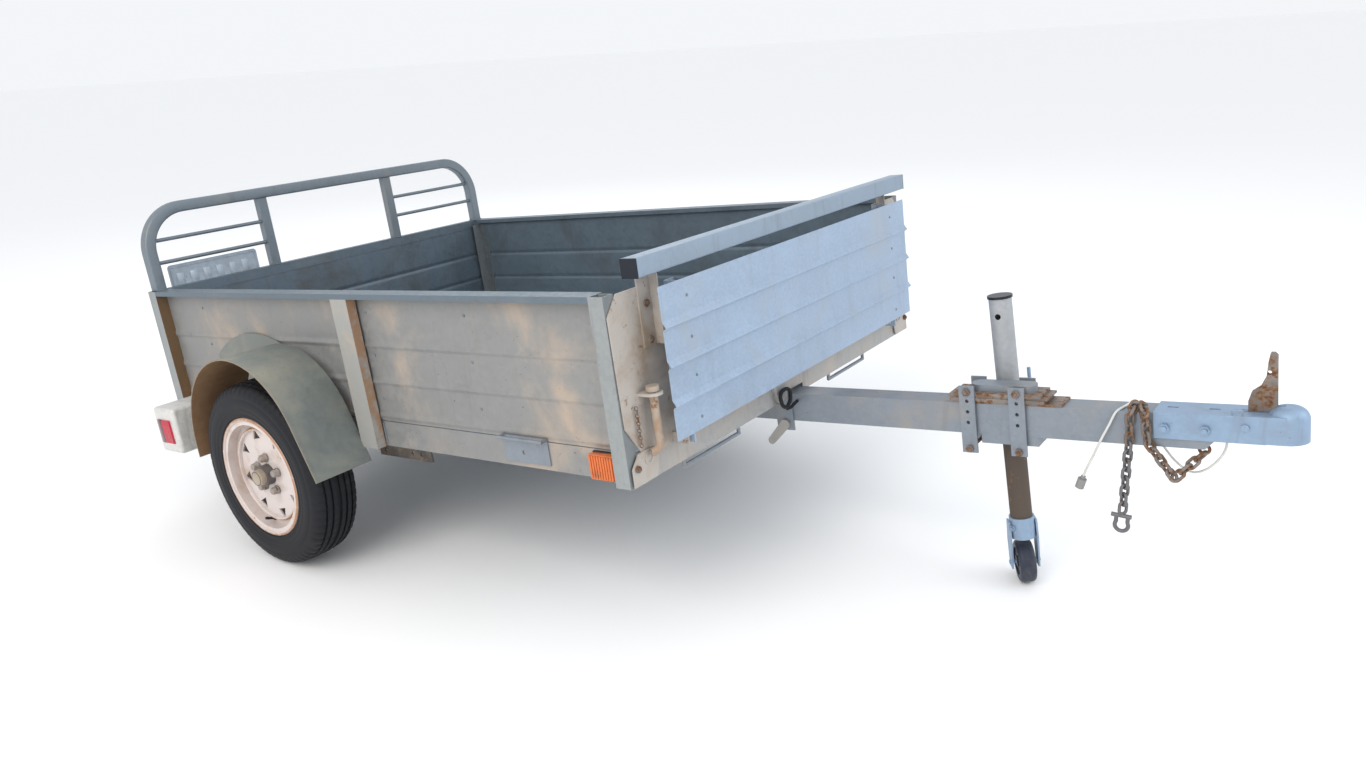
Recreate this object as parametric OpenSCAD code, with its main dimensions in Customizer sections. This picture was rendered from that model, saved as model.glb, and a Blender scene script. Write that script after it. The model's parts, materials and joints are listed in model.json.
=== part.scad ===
// Single axle box trailer with a tilting tray, standing nose up on its castor leg.
// +X points forward along the drawbar, +Y to the trailer's left, +Z up. The floor is Z = 0.
// The tray is drawn level in its own frame: X = 0 is the front face of the corner posts,
// Z = 0 is their lower end. stance() then puts it on its wheels.

/* [Tray] */
// Outer length of the tray
tray_len = 2180; // [2100:10:2400]
// Outer width over the corner posts
tray_w = 1610; // [1560:10:1700]
// Height of the corner posts
post_h = 484; // [470:2:520]
// How far the side panels sit inside the posts
recess = 37; // [30:1:42]
// Thickness of the folded sheet
sheet = 2; // [1.5:0.5:3]

/* [Hoop and header] */
// Height of the hoop's top above the post feet
hoop_top = 785; // [700:5:860]
// Outer bend radius of the hoop
hoop_bend = 170; // [120:5:200]
// Width of the hoop's square tube
hoop_tube = 40; // [32:2:40]
// Length of the header rail over the front gate
header_len = 1470; // [1440:10:1500]

/* [Wheels] */
// Outer radius of the tyres
tyre_r = 303; // [295:1:306]
// Section width of the tyres
tyre_w = 162; // [156:2:172]
// Radius of the rim flange
rim_r = 196; // [190:1:198]
// How far the tyre stands outside the posts
wheel_out = 188; // [185:1:190]

/* [Drawbar] */
// Reach of the drawbar in front of the tray
bar_reach = 1167; // [1150:1:1200]
// Width of the drawbar's tube
bar_w = 76; // [70:2:76]
// Height of the drawbar's tube
bar_h = 86; // [80:2:90]
// Slope of the drawbar against the tray, in degrees
bar_rise = 1.2; // [0.6:0.1:1.4]

/* [Stance] */
// How far the trailer stands nose up, in degrees
nose_up = 5; // [4.5:0.1:5.5]
// Lean of the castor leg against the tray, in degrees
leg_lean = 3.1; // [1:0.1:4]
// Radius of the castor wheel
castor_r = 62; // [56:1:64]

/* [Hidden] */
$fn = 48;

running = 0.05;                         // radial clearance of a turning or sliding fit
half_w = tray_w / 2;
panel_y = half_w - recess;              // outer face of the side panels
post_w = 48;
wall = 3;                               // wall of folded channels
floor_z = 82;                           // underside of the floor sheet
rail_lip = 16;
rail_top_w = 56;
panel_ribs = [16, 123, 236];            // above the floor, on the side and rear panels
stanchion_x = [-1078, -1000];

axle_x = -1388;
axle_z = -68;
wheel_y = half_w + wheel_out - tyre_w / 2;   // middle plane of a wheel
dish = 38;                              // wheel disc inside the outer rim flange
stub_r = 15;

bar_z0 = 11.5;                          // top of the drawbar at the tray's front
pivot_u = -1310;                        // tilt pivot along the drawbar
pivot_r = 10;

gate_x = 75;                            // front face of the gate
gate_half = 690;
gate_z = [93, 483];
gate_ribs = [90, 189, 287];             // above the gate's lower edge
gate_pin = [40, 75];                    // hinge line of the gate: X, Z
gate_pin_r = 6;
header_z = [513, 562];
header_x = [10, 60];

rod_x = 36;                             // latch rods, on the corner plates
rod_y = 714;
rod_r = 11;
rod_bend = 24;

leg_x = 631.5;
leg_y = 80;
leg_r = 30.15;
leg_top = 287;
leg_foot = -396;
screw_turn = 45;                        // heading of the leg clamp's screw
fork_turn = 30;                         // heading of the castor's axle
fork_gap = 68;
castor_trail = 15;
castor_w = 46;
castor_round = 12;                      // rounded shoulder of the castor's tread

lever_pin = [1260, 36];                 // pin of the coupling's lever: along the drawbar, up
nose_x = 1300;                          // ball centre along the drawbar
ball_r = 25.3;
ball_z = -34;
chain_wire = 4;
chain_pitch = 24;

// Where the wheels stand, and the height of the castor's axle along its leg
lean = leg_lean + nose_up;
leg_base_z = tyre_r + (leg_x - axle_x) * sin(nose_up) - axle_z * cos(nose_up);
axle_tilt = cos(fork_turn) * sin(lean);
castor_low = (castor_r - castor_round) * sqrt(1 - axle_tilt * axle_tilt)
    + (castor_w / 2 - castor_round) * axle_tilt + castor_round;
castor_s = -(leg_base_z - castor_trail * sin(fork_turn) * sin(lean) - castor_low) / cos(lean);

// The object's middle along X: from the nose of the coupling to the top of the hoop
nose_r = 43;
nose_low = -62;
nose_tray = [(nose_x + nose_r) * cos(bar_rise) - nose_low * sin(bar_rise),
             bar_z0 + (nose_x + nose_r) * sin(bar_rise) + nose_low * cos(bar_rise)];
x_front = (nose_tray[0] - axle_x) * cos(nose_up) - (nose_tray[1] - axle_z) * sin(nose_up);
x_rear = (-tray_len - axle_x) * cos(nose_up) - (hoop_top - axle_z) * sin(nose_up);
ground_x = -(x_front + x_rear) / 2;

// Free cable: from inside the drawbar's front end, round below and over it, to its plug
cable_r = 3;
cable_route = [
    [1120, 6, -40], [1150, 4, -46], [1172, 0, -62], [1172, -2, -92], [1155, 0, -125],
    [1125, 6, -155], [1090, 20, -168], [1052, 40, -150], [1020, 52, -112], [996, 54, -70],
    [978, 51, -25], [966, 40, 3], [958, 20, 4], [952, -4, 3.5], [946, -28, 3.5],
    [936, -44, -4], [922, -52, -34], [902, -56, -74], [882, -58, -118], [866, -60, -152],
    [858, -60, -172]
];

// ---------- frames and helpers ----------

module stance() translate([ground_x, 0, tyre_r]) rotate([0, -nose_up, 0])
    translate([-axle_x, 0, -axle_z]) children();
module bar_frame() stance() translate([0, 0, bar_z0]) rotate([0, -bar_rise, 0]) children();
module leg_frame() stance() translate([leg_x, leg_y, 0]) rotate([0, -leg_lean, 0]) children();
module fork_frame() leg_frame() rotate([0, 0, fork_turn]) children();
module both_sides() { children(); mirror([0, 1, 0]) children(); }

// A profile drawn in Y and Z, run along X; and one drawn in X and Z, run along Y
module along_x(x0, x1) translate([x0, 0, 0]) rotate([90, 0, 90]) linear_extrude(x1 - x0) children();
module along_y(y0, y1) translate([0, y1, 0]) rotate([90, 0, 0]) linear_extrude(y1 - y0) children();
module block(lo, hi) translate(lo) cube(hi - lo);
module rod_y(r, y0, y1) translate([0, y0, 0]) rotate([-90, 0, 0]) cylinder(r = r, h = y1 - y0);
module rod_x(r, x0, x1) translate([x0, 0, 0]) rotate([0, 90, 0]) cylinder(r = r, h = x1 - x0);

module channel(w, h, t) difference() {
    square([w, h]);
    translate([t, t]) square([w, h - 2 * t]);
}
module tube_2d(w, h, t) difference() {
    square([w, h]);
    translate([t, t]) square([w - 2 * t, h - 2 * t]);
}

// Sheet of height h with a folded bead at each rib: low flank, peak and high flank
function bead_line(h, ribs, depth, low, high) = concat([[0, 0]],
    [for (r = ribs) each [[0, r - low], [depth, r], [0, r + high]]], [[0, h]]);
function flipped(list) = [for (i = [len(list) - 1:-1:0]) list[i]];
module beaded(h, ribs, depth, low, high, t) {
    line = bead_line(h, ribs, depth, low, high);
    polygon(concat(line, flipped([for (p = line) [p[0] - t, p[1]]])));
}

module hex_bolt(r, head) {
    cylinder(r = r, h = head, $fn = 6);
    cylinder(r = r * 0.5, h = head * 1.7);
}

// Quarter bend of round bar: comes up from -Z, leaves along +X
module quarter_bend(bend, r) translate([bend, 0, 0]) rotate([90, 0, 0])
    rotate_extrude(angle = 90, start = 90) translate([bend, 0]) circle(r);

// ---------- tray ----------

module floor_sheet() color("lightslategray") stance() difference() {
    block([-tray_len + post_w, -panel_y + wall, floor_z], [-wall, panel_y - wall, floor_z + sheet]);
    both_sides() block([-tray_len, -panel_y, floor_z - 1], [-tray_len + post_w + 45, -panel_y + 45, floor_z + 5]);
}

module side_rails() color("lightslategray") stance() both_sides()
    along_x(-tray_len + post_w, -post_w) translate([-panel_y, 2]) channel(40, floor_z - 2, wall);

module cross_members() color("lightslategray") stance() {
    for (x = [-480, -1310, -1800]) translate([x - 20, 0, 0])
        along_y(-panel_y + 42, panel_y - 42) translate([0, 26]) channel(40, floor_z - 26, wall);
    pivot_x = pivot_u * cos(bar_rise) + bar_h / 2 * sin(bar_rise);
    pivot_z = bar_z0 + pivot_u * sin(bar_rise) - bar_h / 2 * cos(bar_rise);
    both_sides() difference() {
        block([pivot_x - 22, -bar_w / 2 - 10, pivot_z - 22], [pivot_x + 22, -bar_w / 2 - 2, 30]);
        translate([pivot_x, 0, pivot_z]) rod_y(pivot_r + running, -60, -20);
    }
}

module front_rail() color("lightslategray") stance() difference() {
    mirror([1, 0, 0]) along_y(-panel_y + 1, panel_y - 1) translate([0, -2]) channel(40, floor_z + 1.5, wall);
    block([-60, -bar_w / 2 - 8, -10], [5, bar_w / 2 + 8, 22]);
}

module rear_rail() color("lightslategray") stance()
    along_y(-panel_y + 1, panel_y - 1) translate([-tray_len + 1, -2]) channel(40, floor_z + 1.5, wall);

module side_panels() color("silver") stance() both_sides() mirror([0, 1, 0])
    along_x(-tray_len + post_w + 0.5, -post_w - 0.5) translate([panel_y, floor_z + sheet])
        beaded(post_h - 6 - floor_z - sheet, panel_ribs, 5, 10, 14, sheet);

module top_rails() color("lightsteelblue") stance() both_sides()
    along_x(-tray_len + post_w, -post_w) translate([-half_w, post_h - rail_lip]) difference() {
        square([rail_top_w, rail_lip]);
        translate([wall, -1]) square([rail_top_w - 2 * wall, rail_lip + 1 - wall]);
    }

module stanchions() color("tan") stance() both_sides()
    translate([stanchion_x[0], -half_w, 2]) linear_extrude(post_h - rail_lip - 2) difference() {
        square([stanchion_x[1] - stanchion_x[0], recess - 6]);
        translate([wall, wall]) square([stanchion_x[1] - stanchion_x[0] - 2 * wall, recess]);
    }

module corner_posts() color("silver") stance() both_sides() {
    for (x = [-tray_len, -post_w]) translate([x, -half_w, 0]) linear_extrude(post_h)
        tube_2d(post_w - (x == -post_w ? 1 : 0), recess + 2, wall);
    // Punched angle inside each rear corner
    translate([-tray_len + post_w, -panel_y + 3, floor_z + 4]) difference() {
        linear_extrude(post_h - floor_z - 26) union() {
            square([42, wall]);
            square([wall, 42]);
        }
        for (z = [30:48:350]) translate([24, 0, z]) rotate([-90, 0, 0]) cylinder(r = 5, h = 20, center = true);
    }
}

module corner_plates() color("wheat") stance() both_sides() {
    along_x(0, 4) polygon([[-798, 154], [-802, 433], [-761, 482], [-604, 482], [-596, 96],
        [-634, 62], [-742, 62], [-755, 87]]);
    along_x(4.2, 8) polygon([[-797, 2], [-706, 2], [-692, 52], [-700, 80], [-744, 84], [-770, 80], [-797, 50]]);
    // Socket ring for the latch rod's end
    translate([8, -rod_y - 17, 60]) rotate([0, 90, 0]) difference() {
        cylinder(r = 17, h = 2.5);
        translate([0, 0, -1]) cylinder(r = 11, h = 5);
    }
    // Hinge lug and pin of the gate
    block([3, -622, 62], [gate_pin[0] + 12, -616, 90]);
    translate([gate_pin[0], 0, gate_pin[1]]) rod_y(gate_pin_r, -630, -584);
}

module header_rail() color("lightsteelblue") stance()
    along_y(-header_len / 2, header_len / 2) translate([header_x[0], header_z[0]])
        tube_2d(header_x[1] - header_x[0], header_z[1] - header_z[0], wall);

module header_caps() color("black") stance() both_sides() {
    block([header_x[0] + 0.5, -header_len / 2 - 4, header_z[0] + 0.5],
        [header_x[1] - 0.5, -header_len / 2, header_z[1] - 0.5]);
}

module header_brackets() color("tan") stance() both_sides()
    translate([4, -686, 330]) linear_extrude(header_z[0] - 330) union() {
        square([4, 52]);
        translate([0, 48]) square([30, 4]);
    }

module plate_bolts() color("peru") stance() both_sides() {
    for (p = [[438, 661], [346, 661]]) translate([8, -p[1], p[0]]) rotate([0, 90, 0]) hex_bolt(10, 6);
    translate([8, -780, 47]) rotate([0, 90, 0]) hex_bolt(10, 6);
}

module latch_ears() color("wheat") stance() both_sides() difference() {
    union() {
        translate([rod_x, -rod_y, 222]) cylinder(r = 25, h = 7);
        block([4, -rod_y - 25, 222], [rod_x, -rod_y + 25, 229]);
        block([4, -rod_y - 25, 200], [8, -rod_y + 25, 229]);
    }
    translate([rod_x, -rod_y, 210]) cylinder(r = rod_r + running, h = 30);
}

module latch_rod() {
    translate([rod_x, -rod_y, 0]) {
        translate([0, 0, 100]) cylinder(r = rod_r, h = 139);
        translate([0, 0, 232]) cylinder(r = 17, h = 13);
        translate([0, 0, 100]) rotate([0, 0, 225]) rotate([180, 0, 0]) quarter_bend(rod_bend, rod_r);
    }
}
module latch_rod_right() color("rosybrown") stance() latch_rod();
module latch_rod_left() color("rosybrown") stance() mirror([0, 1, 0]) latch_rod();

module rear_panel() color("lightslategray") stance()
    along_y(-panel_y + 4, panel_y - 4) translate([-tray_len + 32, floor_z + sheet]) mirror([1, 0, 0])
        beaded(post_h - 40 - floor_z - sheet, panel_ribs, 5, 10, 14, sheet);

module rear_top_rail() color("lightsteelblue") stance()
    along_y(-panel_y + 22, panel_y - 22) translate([-tray_len, post_h - 36]) tube_2d(36, 36, wall);

module hoop_path() {
    w = hoop_tube;
    leg_top_z = hoop_top - hoop_bend;
    y_out = half_w - 13;
    both_sides() {
        along_x(0, w) translate([-y_out, leg_top_z]) mirror([0, 1]) square([w, leg_top_z - post_h]);
        translate([0, -y_out + hoop_bend, leg_top_z]) rotate([90, 0, 90]) rotate_extrude(angle = 90, start = 90)
            translate([hoop_bend - w, 0]) square([w, w]);
    }
    block([0, -y_out + hoop_bend, hoop_top - w], [w, y_out - hoop_bend, hoop_top]);
}
module hoop() color("lightslategray") stance() translate([-tray_len, 0, 0]) hoop_path();

module hoop_bars() color("lightslategray") stance() both_sides() {
    block([-tray_len + 4, -318, post_h], [-tray_len + 34, -282, hoop_top - hoop_tube]);
    for (z = [657, 577]) translate([-tray_len + 20, 0, z]) rod_y(7, -half_w + 13 + hoop_tube, -317);
}

module number_plate() color("aliceblue") stance()
    translate([-tray_len - 2, -715, 436]) rotate([90, 0, 90]) linear_extrude(1.5)
        translate([12, 12]) offset(12) square([334, 100]);

// Side outline of a guard: straight rear end, round top, long straight front end
guard_front = 22;                       // where the round top ends, above the horizontal
function guard_edge(r) = concat([[-r, -44]],
    [for (a = [180:-6.32:guard_front]) r * [cos(a), sin(a)]],
    [r * [cos(guard_front), sin(guard_front)] + 183 * [sin(guard_front), -cos(guard_front)]]);
module guard_line(r, t) polygon(concat(guard_edge(r), flipped(guard_edge(r - t))));
module mudguards() color("darkseagreen") stance() both_sides()
    translate([-1404, 0, 14]) {
        along_y(-half_w - 187, -half_w + 5) guard_line(306, 2);
        along_y(-half_w - 195, -half_w - 187) guard_line(308, 4);
    }

module lamp_boxes() color("lightgray") stance() both_sides() difference() {
    block([-1990, -half_w - 180, -42], [-1856, -half_w, 118]);
    block([-1987, -half_w - 177, -39], [-1859, -half_w - 3, 115]);
}

module red_lenses() color("crimson") stance() both_sides() {
    block([-1966, -half_w - 186, -6], [-1886, -half_w - 180, 78]);
    block([-1998, -half_w - 165, -18], [-1990, -half_w - 25, 66]);
}

module marker_lamps() color("darkorange") stance() both_sides()
    block([-138, -panel_y - 32, 8], [-54, -panel_y, 80]);

module rope_rails() color("lightgray") stance() {
    // Bars on the sides, each over a drilled lashing plate
    both_sides() {
        translate([0, -panel_y - 22, 89]) rod_x(5, -470, -300);
        for (x = [-465, -305]) translate([x, 0, 89]) rod_y(5, -panel_y - 22, -panel_y - 3);
        difference() {
            block([-470, -panel_y - 4, 16], [-300, -panel_y, 92]);
            translate([-395, 0, 45]) rod_y(6, -panel_y - 10, -panel_y + 10);
        }
    }
    // Loops below the front rail
    for (ends = [[-570, -307], [230, 474]]) translate([-12, 0, 0]) {
        translate([0, 0, -24]) rod_y(5.5, ends[0], ends[1]);
        for (y = ends) translate([0, y, -24]) {
            cylinder(r = 5.5, h = 22);
            sphere(5.5);
        }
    }
}

module latch_tongue() color("gainsboro") stance() along_x(0, 14)
    polygon([[-152, 84], [-72, 84], [-80, 28], [-90, 8], [-104, 2], [-116, 10], [-126, 34]]);

module axle_beam() color("dimgray") stance() translate([axle_x, 0, axle_z]) {
    difference() {
        block([-22, -half_w + 22, -22], [22, half_w - 22, 22]);
        block([-18, -half_w, -18], [18, half_w, 18]);
    }
    both_sides() rod_y(stub_r, -wheel_y - 32, -half_w + 60);
}

function leaf_arc(half, r, z, n) = [for (i = [-n:n]) [half * i / n, z + r - sqrt(r * r - pow(half * i / n, 2))]];
module leaf(half, z) {
    under = leaf_arc(half, 2400, z, 10);
    polygon(concat(under, flipped([for (p = under) p + [0, 7]])));
}
module leaf_springs() color("dimgray") stance() both_sides() {
    translate([axle_x, 0, 0]) {
        along_y(-745, -695) union() {
            leaf(370, axle_z + 36.4);
            leaf(270, axle_z + 29.2);
            leaf(160, axle_z + 22);
        }
        for (x = [-34, 34]) translate([x, 0, axle_z]) for (y = [-751, -689])
            translate([0, y, -34]) cylinder(r = 5, h = 85);
        block([-45, -757, axle_z - 30], [45, -683, axle_z - 22]);
    }
    // Drilled hanger at the front eye, plain one at the rear
    difference() {
        block([-1050, -panel_y + 4, -34], [-805, -panel_y + 10, 2]);
        for (x = [-1020, -890, -850]) translate([x, 0, -14]) rod_y(7, -800, -700);
    }
    block([-1790, -panel_y + 4, -34], [-1720, -panel_y + 10, 2]);
    for (x = [-1015, -1758]) translate([x, 0, -8]) rod_y(6, -panel_y + 4, -690);
}

// ---------- front gate ----------

module front_gate() color("lightblue") stance()
    along_y(-gate_half, gate_half) translate([gate_x, gate_z[0]])
        beaded(gate_z[1] - gate_z[0], gate_ribs, 13, 6, 20, sheet);

module gate_frame() color("lightsteelblue") stance() both_sides() {
    translate([22, -598, gate_z[0]]) linear_extrude(gate_z[1] - gate_z[0] - 3) difference() {
        square([gate_x - sheet - 22, 38]);
        translate([wall, wall]) square([gate_x - sheet - 22 - 2 * wall, 60]);
    }
    difference() {
        block([gate_pin[0] - 18, -604, gate_pin[1] - 14], [gate_pin[0] + 20, -598, gate_z[0] + 40]);
        translate([gate_pin[0], 0, gate_pin[1]]) rod_y(gate_pin_r + running, -640, -580);
    }
}

// ---------- drawbar ----------

module drawbar_beam() color("lightsteelblue") bar_frame() {
    difference() {
        block([pivot_u - 35, -bar_w / 2, -bar_h], [bar_reach, bar_w / 2, 0]);
        block([pivot_u - 50, -bar_w / 2 + 4, -bar_h + 4], [bar_reach + 9, bar_w / 2 - 4, -4]);
        along_y(-60, 60) polygon([[bar_reach - 35, -bar_h - 1], [bar_reach + 9, -bar_h - 1], [bar_reach + 9, -40]]);
    }
    translate([pivot_u, 0, -bar_h / 2]) rod_y(pivot_r, -bar_w / 2 - 16, bar_w / 2 + 16);
}

module latch_bracket() color("gainsboro") bar_frame() difference() {
    block([-50, -bar_w / 2 - 6, -116], [8, -bar_w / 2, -14]);
    translate([-20, 0, -46]) rod_y(4, -60, -20);
}

module latch_lever() color("darkgray") bar_frame() translate([-20, -bar_w / 2 - 6.4, -96])
    rotate([90, 0, 0]) linear_extrude(8) rotate(-134) hull() {
        circle(15, $fn = 32);
        translate([78, 0]) circle(12, $fn = 32);
    }

module latch_rubber() color("black") bar_frame() translate([26, -100, 6]) {
    rotate([90, 0, 90]) rotate_extrude(angle = 200, start = 165) translate([27, 0]) circle(6);
    translate([0, 0, -27]) rod_y(5, 0, 64);
    block([-8, 56, -36], [8, 62, -18]);
}

module packing_plates() color("saddlebrown") bar_frame() {
    block([512, -40, 0], [806, 38, 6]);
    block([512, -44, 6.2], [764, 40, 16]);
    block([504, -42, 16.2], [772, 38, 22]);
    block([520, -46, 22.2], [756, 36, 30]);
}

module clamp_plates() color("slategray") bar_frame() {
    translate([648, 0, 30.2]) linear_extrude(18) hull() for (x = [-60, 60]) translate([x, 0]) circle(27, $fn = 32);
    block([590, -36, -bar_h - 26], [742, 36, -bar_h]);
}

strap_x = [561, 694];
strap_bolts = [34, -126];
module clamp_straps() color("silver") bar_frame() for (x = strap_x) {
    difference() {
        block([x - 21, -bar_w / 2 - 12, -138], [x + 21, -bar_w / 2 - 6, 50]);
        for (z = [8, -22, -52]) translate([x, 0, z]) rod_y(5, -70, -20);
    }
    block([x - 21, bar_w / 2 + 6, -138], [x + 21, bar_w / 2 + 12, 50]);
}

module clamp_bolts() color("sienna") bar_frame() for (x = strap_x) for (z = strap_bolts) translate([x, 0, z]) {
    rod_y(5, -bar_w / 2 - 14, bar_w / 2 + 24);
    rotate([90, 0, 0]) translate([0, 0, bar_w / 2 + 12]) hex_bolt(11, 7);
    rotate([-90, 0, 0]) translate([0, 0, bar_w / 2 + 12]) hex_bolt(11, 9);
}

module clamp_saddle() color("slategray") leg_frame() difference() {
    union() {
        translate([0, 0, -50]) cylinder(r = leg_r + 6, h = 100);
        block([-56, -leg_r - 5, -48], [56, -leg_r - 1.2, 48]);
        rotate([0, 0, screw_turn]) translate([0, 0, 30]) rod_x(12, leg_r + 2, leg_r + 22);
    }
    translate([0, 0, -60]) cylinder(r = leg_r + 0.1, h = 120);
    rotate([0, 0, screw_turn]) translate([0, 0, 30]) rod_x(5 + running, 0, 80);
}

module clamp_handle() color("lightslategray") leg_frame() rotate([0, 0, screw_turn]) translate([0, 0, 30]) {
    rod_x(5, leg_r + 0.4, leg_r + 34);
    rod_x(10, leg_r + 24, leg_r + 40);
    translate([leg_r + 32, 0, 0]) cylinder(r = 5, h = 100, center = true);
}

module coupling_body() color("lightblue") bar_frame() difference() {
    union() {
        block([1022, -bar_w / 2 - 5, -63], [nose_x - 40, bar_w / 2 + 5, 4]);
        block([nose_x - 100, -bar_w / 2 - 5, nose_low], [nose_x, bar_w / 2 + 5, 4]);
        block([1248, -3, 0], [1272, 3, 48]);
        translate([nose_x, 0, 0]) rotate_extrude() union() {
            translate([0, nose_low]) square([nose_r, 52]);
            intersection() {
                translate([13, -10]) circle(30);
                translate([0, -11]) square([60, 60]);
            }
            translate([0, -10]) square([13, 30]);
        }
    }
    block([1000, -bar_w / 2 - 0.2, -90], [nose_x - 105, bar_w / 2 + 0.2, 0]);
    block([nose_x - 110, -30, -90], [nose_x - 40, 30, -6]);
    translate([nose_x, 0, ball_z]) sphere(ball_r);
    translate([nose_x, 0, -90]) cylinder(r = ball_r, h = 90 + ball_z);
    for (x = [1058, 1149]) block([x - 12, -4, -10], [x + 12, 4, 10]);
    // Slots for the lever's cheeks, either side of the lug that carries its pin
    both_sides() block([1204, 3, -17], [1294, 7.8, 40]);
    translate([lever_pin[0], 0, lever_pin[1]]) rod_y(5 + running, -10, 10);
}

module coupling_fixings() color("silver") bar_frame() {
    for (x = [1047, 1135]) translate([x, 0, -35]) {
        rod_y(6, -bar_w / 2 - 5, bar_w / 2 + 5);
        rotate([90, 0, 0]) translate([0, 0, bar_w / 2 + 5]) hex_bolt(12, 8);
        rotate([-90, 0, 0]) translate([0, 0, bar_w / 2 + 5]) hex_bolt(12, 8);
    }
    both_sides() translate([1218, -bar_w / 2 - 5, -24]) rotate([90, 0, 0]) cylinder(r = 9, h = 5);
    // Bent wire safety clip
    translate([1190, -36, 4]) cylinder(r = 1.5, h = 12);
    translate([0, -36, 14.5]) rod_x(1.5, 1189, 1212);
    translate([1212, -36, 4]) cylinder(r = 1.5, h = 12);
}

module coupling_lever() color("sienna") bar_frame() {
    difference() {
        along_y(-7, 7) polygon([[1219, 6], [1278, 6], [1278, 140], [1272, 146], [1264, 146], [1260, 128],
            [1256, 92], [1244, 66], [1226, 52], [1219, 30]]);
        block([1200, -3.4, 0], [1290, 3.4, 62]);
        translate([1262, 0, 100]) rod_y(5, -10, 10);
    }
    translate([lever_pin[0], 0, lever_pin[1]]) rod_y(5, -9, 9);
}

// ---------- safety chain ----------

module link() {
    side = (chain_pitch + 2 * chain_wire - 19) / 2;
    for (e = [0, 1]) rotate([0, 0, 180 * e]) translate([side, 0, 0])
        rotate_extrude(angle = 180, start = -90) translate([9.5, 0]) circle(chain_wire, $fn = 16);
    for (y = [-9.5, 9.5]) translate([0, y, 0]) rod_x(chain_wire, -side, side, $fn = 16);
}

// Links from a to b, n of them, turned by 90 degrees one after the other
module links(a, b, n, phase) {
    d = b - a;
    run = norm([d[0], d[1]]);
    for (i = [0:n - 1]) translate(a + d * (i + 0.5) / n)
        rotate([0, -atan2(d[2], run), atan2(d[1], d[0])]) rotate([90 * ((i + phase) % 2) + 45, 0, 0]) link();
}

chain_turn = [[1128, -14, -104], [1066, -40, -166], [1010, -54, -72], [1006, -54, -2], [996, -28, 16],
    [980, -28, 16], [972, -54, -2], [968, -54, -78]];
chain_links = [4, 5, 3, 2, 1, 2, 3];
module safety_chain() color("sienna") bar_frame() {
    for (i = [0:6]) links(chain_turn[i], chain_turn[i + 1], chain_links[i], i);
    // Eye under the drawbar
    translate([1128, -14, -bar_h - 8]) rotate([90, 0, 0]) rotate_extrude() translate([11, 0]) circle(4);
}

drop_top = [968, -54, -72.8];
drop_links = 8;
module chain_drop() color("dimgray") {
    hang = nose_up + bar_rise;
    bar_frame() translate(drop_top) rotate([0, hang, 0]) {
        links([0, 0, -4], [0, 0, -4 - 23.4 * drop_links], drop_links, 1);
        translate([0, 0, -14 - 23.4 * drop_links]) {
            translate([0, 0, -26]) rotate([90, 0, 0]) rotate_extrude(angle = 240, start = 150)
                translate([16, 0]) circle(5);
            for (x = [-13.8, 13.8]) translate([x, 0, -18]) cylinder(r = 5, h = 18);
            rod_x(5.5, -26, 22);
        }
    }
}

// ---------- cable ----------

// Smooth curve through the route's points (Catmull-Rom), a ring of 8 corners at each step
function spline(p, i, t) = let (a = p[max(i - 1, 0)], b = p[i], c = p[i + 1], d = p[min(i + 2, len(p) - 1)])
    0.5 * (2 * b + (c - a) * t + (2 * a - 5 * b + 4 * c - d) * t * t + (3 * b - a - 3 * c + d) * t * t * t);
function path_points(p, steps) = concat([for (i = [0:len(p) - 2]) for (k = [0:steps - 1]) spline(p, i, k / steps)],
    [p[len(p) - 1]]);
function unit(v) = v / norm(v);
function ring(c, along, r, n) = let (side = unit(cross(along, [0.1, 1, 0.05])), up = cross(side, unit(along)))
    [for (k = [0:n - 1]) c + r * (cos(360 * k / n) * side + sin(360 * k / n) * up)];
module swept_tube(path, r, n) {
    last = len(path) - 1;
    points = [for (i = [0:last]) each ring(path[i], path[min(i + 1, last)] - path[max(i - 1, 0)], r, n)];
    sides = [for (i = [0:last - 1]) for (k = [0:n - 1])
        [i * n + k, i * n + (k + 1) % n, (i + 1) * n + (k + 1) % n, (i + 1) * n + k]];
    polyhedron(points, concat(sides, [[for (k = [n - 1:-1:0]) k]], [[for (k = [0:n - 1]) last * n + k]]));
}
module cable() color("white") bar_frame() swept_tube(path_points(cable_route, 4), cable_r, 8);

module plug() color("gray") bar_frame() translate(cable_route[len(cable_route) - 1]) rotate([0, 200, 0]) {
    cylinder(r = 6, h = 9);
    translate([0, 0, 8]) cylinder(r = 11, h = 26);
}

// ---------- castor leg ----------

module leg_tube() color("rosybrown") leg_frame() difference() {
    translate([0, 0, leg_foot]) cylinder(r = leg_r, h = leg_top - leg_foot);
    translate([0, 0, leg_foot - 1]) cylinder(r = leg_r - 3.2, h = leg_top - leg_foot + 2);
    translate([0, 0, 240]) rod_y(8, -50, 50);
}

module leg_cap() color("midnightblue") leg_frame() translate([0, 0, leg_top]) {
    cylinder(r = leg_r + 3, h = 7);
    translate([0, 0, -12]) cylinder(r = leg_r - 3.3, h = 13);
}

module castor_fork() color("lightsteelblue") {
    leg_frame() difference() {
        translate([0, 0, leg_foot - 9]) cylinder(r = leg_r + 4.1, h = 63);
        translate([0, 0, leg_foot - 3]) cylinder(r = leg_r + 0.1, h = 80);
    }
    fork_frame() {
        translate([0, castor_trail, castor_s]) rod_x(6, -fork_gap / 2 - 9, fork_gap / 2 + 9);
        for (side = [-1, 1]) translate([side * (fork_gap / 2 + 2.5) - 2.5, 0, 0]) rotate([90, 0, 90]) linear_extrude(5)
            polygon([[-16, leg_foot + 42], [16, leg_foot + 42], [castor_trail + 20, leg_foot - 26],
                [castor_trail + 17, castor_s - 16], [castor_trail - 17, castor_s - 16], [-20, leg_foot - 6]]);
        rotate([0, 0, -fork_turn - 25]) translate([0, -leg_r - 4, leg_foot + 26]) rotate([90, 0, 0]) hex_bolt(9, 6);
    }
}

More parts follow.
